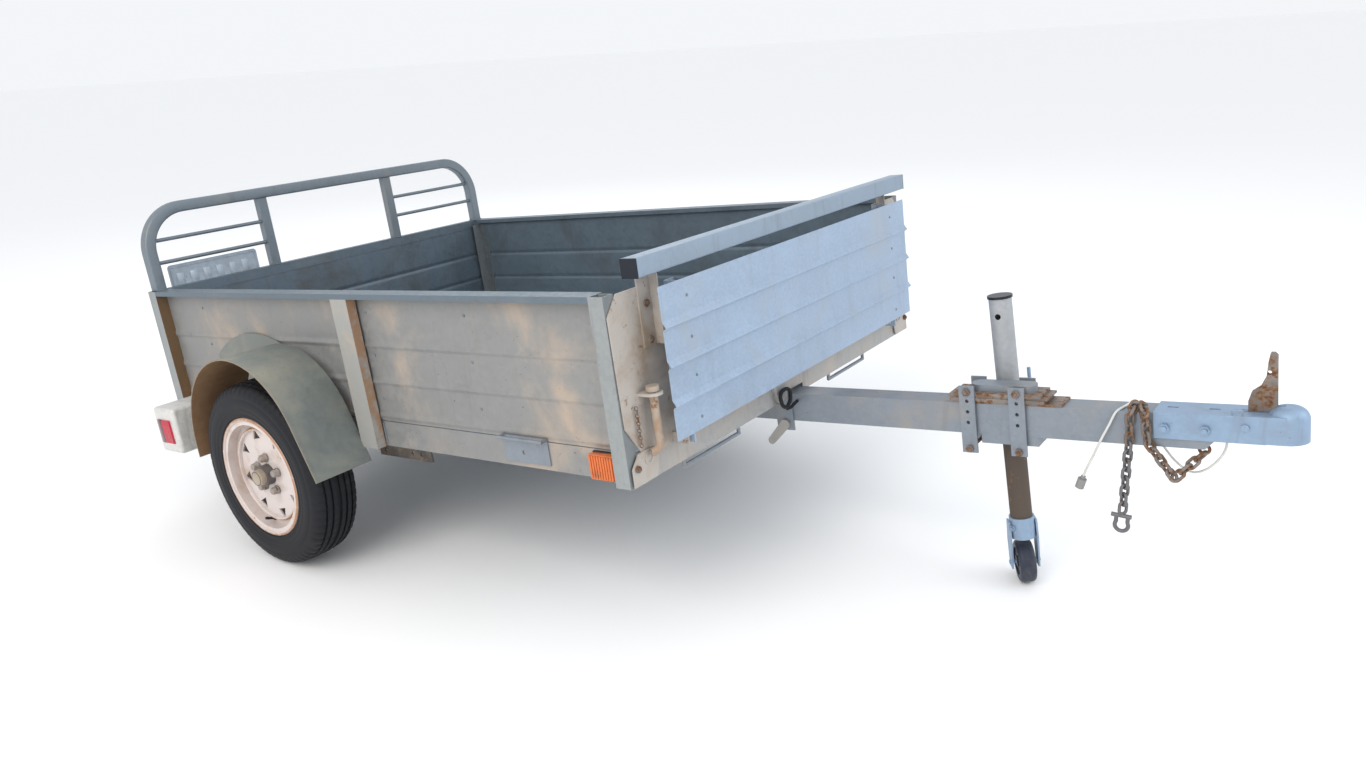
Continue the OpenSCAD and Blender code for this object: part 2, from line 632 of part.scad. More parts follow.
module castor_wheel() color("midnightblue") fork_frame() translate([0, castor_trail, castor_s])
    rotate([0, 90, 0]) rotate_extrude() difference() {
        union() {
            translate([0, -castor_w / 2 + castor_round]) square([castor_r, castor_w - 2 * castor_round]);
            translate([0, -castor_w / 2]) square([castor_r - castor_round, castor_w]);
            for (y = [-1, 1]) translate([castor_r - castor_round, y * (castor_w / 2 - castor_round)]) circle(castor_round);
        }
        translate([-1, -castor_w]) square([7 + running, 2 * castor_w]);
        for (y = [-1, 1]) translate([16, y * castor_w / 2 - 5]) square([24, 10]);
    }

// ---------- road wheels ----------

module at_wheel() stance() translate([axle_x, -wheel_y, axle_z]) rotate([90, 0, 0]) children();

module tyre() rotate_extrude($fn = 96) difference() {
    union() {
        translate([rim_r - 14, -tyre_w / 2 + 12]) square([60, tyre_w - 24]);
        translate([rim_r + 46, -tyre_w / 2 + 26]) square([tyre_r - rim_r - 46, tyre_w - 52]);
        for (y = [-1, 1]) {
            translate([rim_r + 22, y * (tyre_w / 2 - 30)]) circle(30);
            translate([tyre_r - 26, y * (tyre_w / 2 - 28)]) circle(26);
            translate([rim_r + 22, y * (tyre_w / 2 - 15) - 15]) square([tyre_r - rim_r - 48, 30]);
        }
    }
    // Inside of the carcass
    translate([rim_r - 40, -tyre_w / 2 + 20]) square([tyre_r - rim_r + 26, tyre_w - 40]);
    translate([0, -tyre_w]) square([rim_r - 17, 2 * tyre_w]);
}

module rim() {
    // Drop centre barrel with a rolled flange at each edge
    rotate_extrude($fn = 96) union() {
        for (y = [-1, 1]) translate([rim_r - 5, y * (tyre_w / 2 - 8)]) circle(5);
        for (y = [-1, 1]) translate([rim_r - 22, y * (tyre_w / 2 - 10) - 2]) square([18, 4]);
        for (y = [-1, 1]) translate([rim_r - 22, y * (tyre_w / 2 - 29) - 21]) square([4, 42]);
        for (y = [-1, 1]) translate([rim_r - 34, y * (tyre_w / 2 - 50) - 2]) square([16, 4]);
        translate([rim_r - 34, -tyre_w / 2 + 50]) square([4, tyre_w - 100]);
    }
    // Disc with vents and a centre bore
    translate([0, 0, tyre_w / 2 - dish - 8]) difference() {
        cylinder(r = rim_r - 18, h = 5, $fn = 96);
        translate([0, 0, -1]) cylinder(r = 34, h = 9);
        for (i = [0:7]) rotate([0, 0, 45 * i + 11]) translate([rim_r - 66, 0, -1])
            rotate([0, 0, 180 * (i % 2)]) cylinder(r = 23, h = 9, $fn = 3);
    }
}

// The disc's middle carries the nuts: the hub's flange stands right behind it
module hub() {
    disc = tyre_w / 2 - dish - 8;
    difference() {
        union() {
            translate([0, 0, disc - 12.2]) cylinder(r = 72, h = 12);
            translate([0, 0, disc - 60]) cylinder(r = 40, h = 60);
            translate([0, 0, disc - 1]) cylinder(r = 33.5, h = 32);
            translate([0, 0, disc + 30]) cylinder(r = 24, h = 22);
        }
        translate([0, 0, disc - 70]) cylinder(r = stub_r + running, h = disc + 70);
    }
    for (i = [0:4]) rotate([0, 0, 72 * i + 18]) translate([57, 0, disc + 5.2]) cylinder(r = 10, h = 12, $fn = 6);
}

module tyre_right() color("dimgray") at_wheel() tyre();
module rim_right() color("white") at_wheel() rim();
module hub_right() color("gray") at_wheel() hub();
module tyre_left() color("dimgray") mirror([0, 1, 0]) at_wheel() tyre();
module rim_left() color("white") mirror([0, 1, 0]) at_wheel() rim();
module hub_left() color("gray") mirror([0, 1, 0]) at_wheel() hub();

drawbar_beam();
latch_bracket();
latch_rubber();
packing_plates();
clamp_plates();
clamp_straps();
clamp_saddle();
clamp_bolts();
clamp_handle();
coupling_body();
coupling_fixings();
coupling_lever();
safety_chain();
chain_drop();
cable();
plug();
leg_tube();
leg_cap();
castor_fork();
castor_wheel();
latch_lever();
floor_sheet();
side_rails();
cross_members();
front_rail();
rear_rail();
side_panels();
top_rails();
stanchions();
corner_posts();
corner_plates();
header_rail();
header_caps();
header_brackets();
plate_bolts();
latch_ears();
rear_panel();
rear_top_rail();
hoop();
hoop_bars();
number_plate();
mudguards();
lamp_boxes();
red_lenses();
marker_lamps();
rope_rails();
latch_tongue();
axle_beam();
leaf_springs();
front_gate();
gate_frame();
latch_rod_right();
latch_rod_left();
tyre_right();
rim_right();
hub_right();
tyre_left();
rim_left();
hub_left();
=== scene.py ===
# %% [markdown]
# # A galvanised box trailer in a plain studio
# The CAD model arrives as a fixed frame of named parts. This script adds what metalwork looks like
# up close: rounded folds in the sheets, moulded tyres, ribbed lamps, weld beads, zinc spangle,
# dust and rust. Lengths are in metres, except the cable's route, which is in millimetres.

import json
import math

import bmesh
import bpy
from mathutils import Matrix, Vector


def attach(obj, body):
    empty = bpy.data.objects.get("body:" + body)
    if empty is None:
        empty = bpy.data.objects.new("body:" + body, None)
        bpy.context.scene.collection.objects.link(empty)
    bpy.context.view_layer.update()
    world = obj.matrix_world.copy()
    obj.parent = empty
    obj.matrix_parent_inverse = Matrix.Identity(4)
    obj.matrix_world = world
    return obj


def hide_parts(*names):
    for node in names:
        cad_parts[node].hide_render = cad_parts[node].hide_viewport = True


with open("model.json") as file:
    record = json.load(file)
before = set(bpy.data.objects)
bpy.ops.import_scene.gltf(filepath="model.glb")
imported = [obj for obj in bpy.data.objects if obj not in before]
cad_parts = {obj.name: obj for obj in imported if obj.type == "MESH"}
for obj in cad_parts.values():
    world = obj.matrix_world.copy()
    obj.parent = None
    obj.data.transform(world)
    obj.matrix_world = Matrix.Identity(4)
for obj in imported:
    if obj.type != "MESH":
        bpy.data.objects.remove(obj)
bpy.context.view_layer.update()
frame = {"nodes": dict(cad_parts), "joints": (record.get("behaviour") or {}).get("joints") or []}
joint = {j["name"]: j for j in frame["joints"]}

SIDES = (("right", -1), ("left", 1))       # each side's name and the sign of its Y


def in_scene(name, data):
    made = bpy.data.objects.new(name, data)
    bpy.context.scene.collection.objects.link(made)
    return made



# %% [markdown]
# ## Three working frames
# The trailer stands nose up, so almost nothing on it is square to the floor. Each piece is drawn
# level, in the frame of the tray, the drawbar or the castor leg, and a matrix sets it in place.

# %% Frames of the tray, the drawbar and the leg
NOSE_UP = math.radians(5.0)
BAR_RISE = math.radians(1.2)
LEG_LEAN = math.radians(3.1)
AXLE_IN_TRAY = Vector((-1.388, 0.0, -0.068))
BAR_IN_TRAY = (0, 0, 0.0115)
LEG_IN_TRAY = (0.6315, 0.080, 0)

right_wheel = Vector(joint["wheel_spin_right"]["pos_m"])
axle = Vector((right_wheel.x, 0.0, right_wheel.z))
tray = (Matrix.Translation(axle) @ Matrix.Rotation(-NOSE_UP, 4, "Y")
        @ Matrix.Translation(-AXLE_IN_TRAY))
bar = tray @ Matrix.Translation(BAR_IN_TRAY) @ Matrix.Rotation(-BAR_RISE, 4, "Y")
leg = tray @ Matrix.Translation(LEG_IN_TRAY) @ Matrix.Rotation(-LEG_LEAN, 4, "Y")
print("tray's front corner stands at", [round(v, 3) for v in tray @ Vector((0, 0, 0))])

# %% [markdown]
# ## Camera
# A low, wide lens close to the coupling makes the drawbar reach towards the viewer. The camera is
# set by where it stands and by two directions, its right and its up, given in the tray's frame.

# %% Place the camera
camera_data = bpy.data.cameras.new("camera")
camera_data.sensor_width = 36.0
camera_data.lens = 26.5
camera = in_scene("camera", camera_data)
bpy.context.scene.camera = camera

right = Vector((0.801, 0.585, -0.127)).normalized()
up = Vector((-0.060, 0.290, 0.955))
back = right.cross(up).normalized()
up = back.cross(right)
stand = Matrix((right, up, back)).transposed().to_4x4()
stand.translation = Vector((1.554, -2.523, 0.893))
camera.matrix_world = tray @ stand
print("camera height", round(camera.matrix_world.translation.z, 3))

# %% [markdown]
# ## Mesh helpers
# Most of a trailer is one of four things: a folded sheet, a turned part, a bent bar or a box with
# soft corners. One small function makes each of them, so the cells below only say sizes.

# %% Turn meshes and lists of points into pieces
def mesh_of(name, work):
    """Ends a bmesh and gives its mesh, shaded smooth."""
    mesh = bpy.data.meshes.new(name)
    work.to_mesh(mesh)
    work.free()
    mesh.shade_smooth()
    return mesh


def riding(name, mesh, body):
    """Makes a mesh a piece that moves with a body."""
    piece = in_scene(name, mesh)
    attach(piece, body)
    return piece


def piece_from(name, points, faces, body, place=Matrix(), smooth=35):
    """Makes a piece from points and faces; folds sharper than smooth degrees stay crisp."""
    mesh = bpy.data.meshes.new(name)
    mesh.from_pydata([place @ Vector(p) for p in points], [], faces)
    mesh.validate()
    work = bmesh.new()
    work.from_mesh(mesh)
    bmesh.ops.recalc_face_normals(work, faces=work.faces)
    work.to_mesh(mesh)
    work.free()
    mesh.shade_smooth()
    mesh.set_sharp_from_angle(angle=math.radians(smooth))
    return riding(name, mesh, body)


# %% Grid of rings, the base of the sweeps and lathes
def rings_to_faces(count, sides, closed_path, closed_ring=True):
    faces = []
    for i in range(count if closed_path else count - 1):
        a, b = i * sides, ((i + 1) % count) * sides
        for k in range(sides if closed_ring else sides - 1):
            n = (k + 1) % sides
            faces.append((a + k, a + n, b + n, b + k))
    return faces


def lathe(name, outline, body, place, steps=96, smooth=35):
    """Turns a closed outline of (radius, height) about the place's Z. It can differ by step."""
    points, count = [], 0
    for i in range(steps):
        a = math.tau * i / steps
        ring = outline(i) if callable(outline) else outline
        count = len(ring)
        points += [(r * math.cos(a), r * math.sin(a), h) for r, h in ring]
    return piece_from(name, points, rings_to_faces(steps, count, True), body, place, smooth)


# %% Tubes along a line
def tube_mesh(line, radius, sides=8, closed=False):
    line = [Vector(p) for p in line]
    count = len(line)
    points, side = [], None
    for i, p in enumerate(line):
        a = line[i - 1] if (i or closed) else p
        b = line[(i + 1) % count] if (i < count - 1 or closed) else p
        along = (b - a).normalized()
        if side is None:
            side = along.orthogonal().normalized()
        side = (side - along * side.dot(along)).normalized()
        other = along.cross(side)
        r = radius(i) if callable(radius) else radius
        points += [p + r * (math.cos(t) * side + math.sin(t) * other)
                   for t in (math.tau * k / sides for k in range(sides))]
    faces = rings_to_faces(count, sides, closed)
    if not closed:
        faces += [tuple(reversed(range(sides))),
                  tuple(range((count - 1) * sides, count * sides))]
    return points, faces


def tube(name, line, radius, body, place=Matrix(), sides=10, closed=False):
    return piece_from(name, *tube_mesh(line, radius, sides, closed), body, place)


# %% Boxes with soft edges, several of them as one piece
def soft_boxes(name, boxes, edge, body, place=Matrix(), steps=3):
    work = bmesh.new()
    for low, high in boxes:
        low, high = Vector(low), Vector(high)
        made = bmesh.ops.create_cube(work, size=1.0)["verts"]
        for v in made:
            v.co = Vector(((low[i] + high[i]) / 2 + v.co[i] * (high[i] - low[i])
                           for i in range(3)))
    bmesh.ops.bevel(work, geom=work.edges[:], offset=edge, segments=steps, affect="EDGES",
                    profile=0.5)
    work.transform(place)
    mesh = mesh_of(name, work)
    mesh.set_sharp_from_angle(angle=math.radians(40))
    return riding(name, mesh, body)


# %% [markdown]
# ## The lighting cable
# A thin white twin cable leaves the drawbar's open end, hangs below it, goes up behind and over it,
# and ends in a grey plug. The route is a list of points in the drawbar's frame,
# joined by a smooth curve, because a cable that bends at its points looks like wire.

# %% Route of the cable in the drawbar's frame, in millimetres
MM = 0.001
CABLE_THICK = 0.006
CABLE_ROUTE = [
    (1120, 6, -40), (1150, 4, -46), (1172, 0, -62), (1172, -2, -92), (1155, 0, -125),
    (1125, 6, -155), (1090, 20, -168), (1052, 40, -150), (1020, 52, -112), (996, 54, -70),
    (978, 51, -25), (966, 40, 3), (958, 20, 4), (952, -4, 3.5), (946, -28, 3.5),
    (936, -44, -4), (922, -52, -34), (902, -56, -74), (882, -58, -118), (866, -60, -152),
    (858, -60, -172),
]


def smooth_line(points, steps):
    """Catmull-Rom curve through the points."""
    p = [Vector(q) for q in points]
    line = []
    for i in range(len(p) - 1):
        a, b, c, d = p[max(i - 1, 0)], p[i], p[i + 1], p[min(i + 2, len(p) - 1)]
        for k in range(steps):
            t = k / steps
            line.append(0.5 * (2 * b + (c - a) * t + (2 * a - 5 * b + 4 * c - d) * t * t
                               + (3 * b - a - 3 * c + d) * t ** 3))
    return line + [p[-1]]


# %% The cable as a round tube on that line
cable_line = [bar @ (MM * p) for p in smooth_line(CABLE_ROUTE, 4)]
cable = tube("lighting_cable", cable_line, CABLE_THICK / 2, "drawbar", sides=12)
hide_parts("cable")

# %% [markdown]
# ## Shader building blocks
# Zinc, grime, rust and runs of rain dirt show on most parts, each with its own strength. Each
# effect is a node group, made once. The surface shader itself stays in the material.

# %% Short names for node work
def feed(tree, socket, value):
    """Links a socket to another one, or types a plain value on it."""
    if hasattr(value, "is_linked"):
        tree.links.new(value, socket)
    else:
        socket.default_value = value


def add(tree, kind, settings=None, **inputs):
    """Makes a node. An input is given by its label, or as i0, i1 and so on by its place."""
    made = tree.nodes.new("ShaderNode" + kind)
    for key, value in (settings or {}).items():
        setattr(made, key, value)
    for key, value in inputs.items():
        numbered = key[0] == "i" and key[1:].isdigit()
        feed(tree, made.inputs[int(key[1:]) if numbered else key.replace("_", " ")], value)
    return made


def math_of(tree, kind, a, b=0.0, c=0.0):
    return add(tree, "Math", {"operation": kind}, i0=a, i1=b, i2=c).outputs[0]


def product(tree, *factors):
    made = factors[0]
    for factor in factors[1:]:
        made = math_of(tree, "MULTIPLY", made, factor)
    return made


def mix_of(tree, factor, a, b):
    made = add(tree, "Mix", {"data_type": "RGBA", "clamp_factor": True}, i0=factor, i6=a, i7=b)
    return made.outputs[2]


def ramp_of(tree, value, low, high, to_low=0.0, to_high=1.0):
    made = add(tree, "MapRange", {"interpolation_type": "SMOOTHSTEP"},
               i0=value, i1=low, i2=high, i3=to_low, i4=to_high)
    return made.outputs[0]


def noise_of(tree, where, **settings):
    return add(tree, "TexNoise", Vector=where, **settings).outputs["Fac"]


def object_space(tree):
    return add(tree, "TexCoord").outputs["Object"]


def part_of(tree, vector, letter):
    return add(tree, "SeparateXYZ", Vector=vector).outputs[letter]


def group(name, inputs, outputs):
    tree = bpy.data.node_groups.new(name, "ShaderNodeTree")
    for label, kind, value in inputs:
        socket = tree.interface.new_socket(label, in_out="INPUT", socket_type="NodeSocket" + kind)
        socket.default_value = value
    for label, kind in outputs:
        tree.interface.new_socket(label, in_out="OUTPUT", socket_type="NodeSocket" + kind)
    given = tree.nodes.new("NodeGroupInput")
    result = tree.nodes.new("NodeGroupOutput")
    return tree, given.outputs, result.inputs


# %% Zinc spangle: patches of crystal, each a little lighter or darker
GREY = (0.45, 0.47, 0.48, 1)
spangle, given, result = group(
    "zinc spangle",
    [("Color", "Color", GREY), ("Crystals", "Float", 90.0), ("Contrast", "Float", 0.18)],
    [("Color", "Color"), ("Roughness", "Float"), ("Height", "Float")])
where = object_space(spangle)
wobble = add(spangle, "TexNoise", Vector=where, Scale=60.0, Detail=2.0)
bent = add(spangle, "VectorMath", {"operation": "MULTIPLY_ADD"}, i0=wobble.outputs["Color"],
           i1=(0.012, 0.012, 0.012), i2=where).outputs[0]
cells = add(spangle, "TexVoronoi", Vector=bent, Scale=given["Crystals"])
tone = add(spangle, "SeparateColor", Color=cells.outputs["Color"]).outputs[0]
clouds = noise_of(spangle, where, Scale=7.0, Detail=5.0, Roughness=0.65)
mixed = math_of(spangle, "ADD", product(spangle, tone, 0.45), product(spangle, clouds, 1.1))
spread = product(spangle, math_of(spangle, "SUBTRACT", mixed, 0.78), given["Contrast"])
light = math_of(spangle, "ADD", spread, 1.0)
shade = add(spangle, "VectorMath", {"operation": "SCALE"}, i0=given["Color"], Scale=light).outputs[0]
spangle.links.new(shade, result["Color"])
spangle.links.new(ramp_of(spangle, mixed, 0.3, 1.2, 0.38, 0.62), result["Roughness"])
spangle.links.new(product(spangle, tone, 0.3), result["Height"])

# %% Grime: soft clouds of dust with a speckle of darker dirt; on the side sheets the warm clouds are also painted patches of sunlight
grime_and_sun_patches, given, result = group(
    "road grime",
    [("Color", "Color", GREY), ("Dust", "Color", (0.5, 0.43, 0.35, 1)),
     ("Amount", "Float", 0.5), ("Specks", "Float", 0.3), ("Size", "Float", 5.0)],
    [("Color", "Color"), ("Mask", "Float")])
where = object_space(grime_and_sun_patches)
cloud = noise_of(grime_and_sun_patches, where, Scale=given["Size"], Detail=7.0, Roughness=0.62, Distortion=0.4)
fine = noise_of(grime_and_sun_patches, where, Scale=85.0, Detail=3.0, Roughness=0.7)
level = math_of(grime_and_sun_patches, "SUBTRACT", 0.82, given["Amount"])
mask = ramp_of(grime_and_sun_patches, cloud, level, math_of(grime_and_sun_patches, "ADD", level, 0.32))
dusty = mix_of(grime_and_sun_patches, mask, given["Color"], given["Dust"])
patchy = ramp_of(grime_and_sun_patches, noise_of(grime_and_sun_patches, where, Scale=11.0, Detail=2.0), 0.48, 0.62)
speck = product(grime_and_sun_patches, ramp_of(grime_and_sun_patches, fine, 0.66, 0.72), patchy, given["Specks"])
grime_and_sun_patches.links.new(mix_of(grime_and_sun_patches, speck, dusty, (0.05, 0.042, 0.036, 1)), result["Color"])
grime_and_sun_patches.links.new(mask, result["Mask"])

# %% Rust: dark scale in the middle of a patch, orange at its edge
rust, given, result = group(
    "rust",
    [("Color", "Color", GREY), ("Amount", "Float", 0.3), ("Size", "Float", 30.0)],
    [("Color", "Color"), ("Mask", "Float"), ("Height", "Float")])
where = object_space(rust)
patch = noise_of(rust, where, Scale=given["Size"], Detail=9.0, Roughness=0.68)
flake = noise_of(rust, where, Scale=230.0, Detail=4.0, Roughness=0.6)
edge = math_of(rust, "SUBTRACT", 1.0, given["Amount"])
mask = ramp_of(rust, patch, edge, math_of(rust, "ADD", edge, 0.09))
deep = ramp_of(rust, patch, math_of(rust, "ADD", edge, 0.03), math_of(rust, "ADD", edge, 0.2))
scale = mix_of(rust, flake, (0.055, 0.028, 0.016, 1), (0.15, 0.075, 0.038, 1))
brown = mix_of(rust, deep, (0.24, 0.125, 0.06, 1), scale)
rust.links.new(mix_of(rust, mask, given["Color"], brown), result["Color"])
rust.links.new(mask, result["Mask"])
rust.links.new(product(rust, mask, flake), result["Height"])

# %% Rain runs: dirt drawn out downwards
runs, given, result = group(
    "rain runs",
    [("Color", "Color", GREY), ("Run", "Color", (0.16, 0.14, 0.12, 1)), ("Amount", "Float", 0.4)],
    [("Color", "Color")])
where = object_space(runs)
long_way = add(runs, "Mapping", Vector=where, Scale=(26.0, 26.0, 2.2)).outputs[0]
streak = noise_of(runs, long_way, Scale=1.0, Detail=5.0, Roughness=0.6)
mask = product(runs, ramp_of(runs, streak, 0.52, 0.74), given["Amount"])
runs.links.new(mix_of(runs, mask, given["Color"], given["Run"]), result["Color"])
print("effects:", [g.name for g in bpy.data.node_groups])


# %% [markdown]
# ## Materials
# A material here is a short recipe: a starting colour, passed through the effects it needs, into
# one Principled shader. Constants such as metalness are typed straight onto the shader.

# %% Recipe helpers
def start(name):
    made = bpy.data.materials.new(name)
    made.use_nodes = True
    tree = made.node_tree
    return made, tree, tree.nodes["Principled BSDF"]


def effect(tree, block, **inputs):
    return add(tree, "Group", {"node_tree": block}, **inputs).outputs


def finish_surface(tree, shader, color, roughness, height=None, bump=0.15, depth=0.001,
                   **constants):
    feed(tree, shader.inputs["Base Color"], color)
    feed(tree, shader.inputs["Roughness"], roughness)
    if height is not None:
        bumped = add(tree, "Bump", Strength=bump, Distance=depth, Height=height)
        tree.links.new(bumped.outputs[0], shader.inputs["Normal"])
    for key, value in constants.items():
        shader.inputs[key.replace("_", " ")].default_value = value


# %% Zinc, in the tones of the sections, the clean inside and the blue gate
def zinc(name, color, dust, amount, metal=0.55, rusty=0.27, crystals=90.0, contrast=0.3,
         run=0.3):
    made, tree, shader = start(name)
    base = effect(tree, spangle, Color=color, Crystals=crystals, Contrast=contrast)
    dirty = effect(tree, grime_and_sun_patches, Color=base["Color"], Dust=dust, Amount=amount, Specks=0.35)
    run_down = effect(tree, runs, Color=dirty["Color"], Amount=run)
    rusted = effect(tree, rust, Color=run_down["Color"], Amount=rusty, Size=38.0)
    rough = mix_of(tree, rusted["Mask"], base["Roughness"], (0.85, 0.85, 0.85, 1))
    finish_surface(tree, shader, rusted["Color"], rough, base["Height"], 0.12, Metallic=metal)
    return made


section_zinc = zinc("section zinc", (0.20, 0.235, 0.265, 1), (0.30, 0.28, 0.25, 1), 0.28)
header_zinc = zinc("header zinc", (0.27, 0.34, 0.42, 1), (0.26, 0.30, 0.34, 1), 0.28,
                   metal=0.35, contrast=0.2)
dusty_zinc = zinc("dusty zinc", (0.37, 0.365, 0.355, 1), (0.44, 0.395, 0.35, 1), 0.42, metal=0.3)
# Colour of the thin plates that paint each mudguard's cast shadow on the wall.
guard_shadow_paint = zinc("painted guard shadow", (0.20, 0.215, 0.20, 1), (0.32, 0.29, 0.24, 1), 0.36, metal=0.3)
rail_zinc = zinc("top rail zinc", (0.145, 0.185, 0.22, 1), (0.22, 0.23, 0.235, 1), 0.28)
inner_zinc = zinc("inner sheet", (0.15, 0.195, 0.235, 1), (0.13, 0.13, 0.13, 1), 0.36, rusty=0.24)
gate_blue = zinc("gate sheet", (0.33, 0.42, 0.54, 1), (0.37, 0.41, 0.46, 1), 0.34,
                 metal=0.25, rusty=0.26, crystals=150.0, contrast=0.30, run=0.10)
pale_zinc = zinc("coupling zinc", (0.27, 0.37, 0.50, 1), (0.22, 0.26, 0.32, 1), 0.31,
                 metal=0.45, contrast=0.25)
bar_zinc = zinc("drawbar zinc", (0.235, 0.265, 0.305, 1), (0.34, 0.31, 0.275, 1), 0.36, metal=0.4)
lamp_paint = zinc("lamp shell", (0.64, 0.63, 0.61, 1), (0.50, 0.45, 0.39, 1), 0.3, metal=0.3, rusty=0.25)
plate_metal = zinc("plate blank", (0.46, 0.52, 0.58, 1), (0.30, 0.32, 0.34, 1), 0.3, metal=0.6, rusty=0.2)

# %% [markdown]
# The side sheets are two surfaces in one: warm outside and cool bare zinc inside. The warm outside
# is partly dust, where road spray dries on them, and partly painted low sunlight, whose soft clouds
# are painted sun patches. The normal's direction tells the two apart: outside, it points away
# from the trailer's middle.

# %% Side sheets, warm outside and cool inside
def two_sided(name, outer, outer_dust_and_sunlight, inner, inner_dust, facing, amount, metal=0.3, run=0.45):
    """facing(tree) gives a value above zero on the outer face."""
    made, tree, shader = start(name)
    outside = ramp_of(tree, facing(tree), -0.0005, 0.0005)
    bare = mix_of(tree, outside, inner, outer)
    dust = mix_of(tree, outside, inner_dust, outer_dust_and_sunlight)
    base = effect(tree, spangle, Color=bare, Crystals=70.0, Contrast=0.26)
    # On the side sheets, the warm outer colour and its clouds are partly dust and partly painted sunlight,
    # sunlit patches on the near wall.
    dirty = effect(tree, grime_and_sun_patches, Color=base["Color"], Dust=dust, Amount=amount, Specks=0.75, Size=3.2)
    run_down = effect(tree, runs, Color=dirty["Color"], Amount=run)
    rusted = effect(tree, rust, Color=run_down["Color"], Amount=0.29, Size=20.0)
    rough = mix_of(tree, dirty["Mask"], base["Roughness"], (0.8, 0.8, 0.8, 1))
    finish_surface(tree, shader, rusted["Color"], rough, base["Height"], 0.12, Metallic=metal)
    return made


def away_from_middle(tree):
    coords = add(tree, "TexCoord")
    normal = part_of(tree, coords.outputs["Normal"], "Y")
    return product(tree, normal, part_of(tree, coords.outputs["Object"], "Y"))


# The warm outer colour is partly dust and partly painted low sunlight; its clouds paint sun patches on the
# wall.
side_sheet = two_sided("side sheet", (0.255, 0.258, 0.255, 1), (0.50, 0.40, 0.315, 1),
                       (0.125, 0.168, 0.205, 1), (0.09, 0.105, 0.12, 1),
                       away_from_middle, amount=0.37, run=0.14)
post_steel = two_sided("corner posts", (0.29, 0.31, 0.315, 1), (0.42, 0.38, 0.32, 1),
                       (0.13, 0.15, 0.165, 1), (0.10, 0.09, 0.08, 1),
                       away_from_middle, amount=0.30)

# %% [markdown]
# The rear posts are folded, and mud thrown up by the wheels has stained the fold that faces
# forwards. The same idea dirties the stanchions: only the face that looks forwards is rusty.

# %% A brown stain on outer faces that look forwards, behind a given X
WALL_OUTSIDE = 0.765                       # the wall's outer face, from the tray's middle
REAR_POSTS = -1.5                          # everything behind this X is at the rear
ANYWHERE = 3.0                             # ahead of the whole trailer


def stain_front_faces(made, behind, stain, amount):
    tree = made.node_tree
    shader = tree.nodes["Principled BSDF"]
    coords = add(tree, "TexCoord")
    spot = coords.outputs["Object"]
    forwards = ramp_of(tree, part_of(tree, coords.outputs["Normal"], "X"), 0.5, 0.7)
    rear = ramp_of(tree, part_of(tree, spot, "X"), behind, behind + 0.01, 1.0, 0.0)
    outside = ramp_of(tree, math_of(tree, "ABSOLUTE", part_of(tree, spot, "Y")),
                      WALL_OUTSIDE, WALL_OUTSIDE + 0.002)
    patch = noise_of(tree, spot, Scale=13.0, Detail=5.0, Roughness=0.6)
    ragged = ramp_of(tree, patch, 0.62 - amount, 0.78 - amount)
    mask = product(tree, forwards, outside, rear, ragged)
    old = shader.inputs["Base Color"].links[0].from_socket
    feed(tree, shader.inputs["Base Color"], mix_of(tree, mask, old, stain))


stain_front_faces(post_steel, REAR_POSTS, (0.20, 0.125, 0.065, 1), 0.55)

# %% [markdown]
# A mudguard's inside takes all the mud, so it is brown. Here the outer face is the one whose
# normal points away from the wheel's axle.

# %% Mudguards: grey-green zinc outside, dried mud inside
def vector_of(tree, kind, a, b, output="Vector"):
    return add(tree, "VectorMath", {"operation": kind}, i0=a, i1=b).outputs[output]


def beside_axle(tree, spot):
    """The point with its Y set to nought, to compare with the axle's."""
    return vector_of(tree, "MULTIPLY", spot, (1, 0, 1))


def away_from_axle(tree):
    coords = add(tree, "TexCoord")
    arm = vector_of(tree, "SUBTRACT", beside_axle(tree, coords.outputs["Object"]), tuple(axle))
    return vector_of(tree, "DOT_PRODUCT", arm, coords.outputs["Normal"], "Value")


guard_zinc = two_sided("mudguard", (0.185, 0.21, 0.205, 1), (0.34, 0.33, 0.27, 1),
                       (0.36, 0.22, 0.12, 1), (0.24, 0.14, 0.075, 1),
                       away_from_axle, amount=0.45, metal=0.35, run=0.2)


# %% Paint that has worn through to rust
def worn_paint(name, color, dust, rusty, size=24.0, amount=0.3, metal=0.0):
    made, tree, shader = start(name)
    dirty = effect(tree, grime_and_sun_patches, Color=color, Dust=dust, Amount=amount, Specks=0.6, Size=9.0)
    rusted = effect(tree, rust, Color=dirty["Color"], Amount=rusty, Size=size)
    roughness = ramp_of(tree, rusted["Mask"], 0.0, 1.0, 0.5, 0.88)
    finish_surface(tree, shader, rusted["Color"], roughness, rusted["Height"], 0.35, 0.0008,
                   Metallic=metal)
    return made


cream_paint = worn_paint("cream plate", (0.44, 0.40, 0.36, 1), (0.33, 0.25, 0.18, 1), 0.41, amount=0.40)
stanchion_paint = worn_paint("stanchion", (0.315, 0.315, 0.30, 1), (0.42, 0.35, 0.28, 1), 0.34,
                             size=17.0, amount=0.36)
stain_front_faces(stanchion_paint, ANYWHERE, (0.33, 0.20, 0.12, 1), 0.28)
rusty_rod = worn_paint("latch rod", (0.38, 0.32, 0.265, 1), (0.30, 0.17, 0.09, 1), 0.44,
                       size=20.0, amount=0.46)
rusty_steel = worn_paint("rusty steel", (0.16, 0.135, 0.12, 1), (0.25, 0.22, 0.20, 1), 0.53,
                         size=60.0, amount=0.42, metal=0.2)
dark_chain = worn_paint("weathered chain", (0.16, 0.155, 0.16, 1), (0.29, 0.275, 0.27, 1), 0.40,
                        size=70.0, metal=0.5)
underside = worn_paint("running gear", (0.045, 0.043, 0.04, 1), (0.16, 0.12, 0.09, 1), 0.42, amount=0.4)
hub_iron = worn_paint("hub", (0.13, 0.12, 0.12, 1), (0.24, 0.20, 0.17, 1), 0.40, size=50.0, metal=0.3)
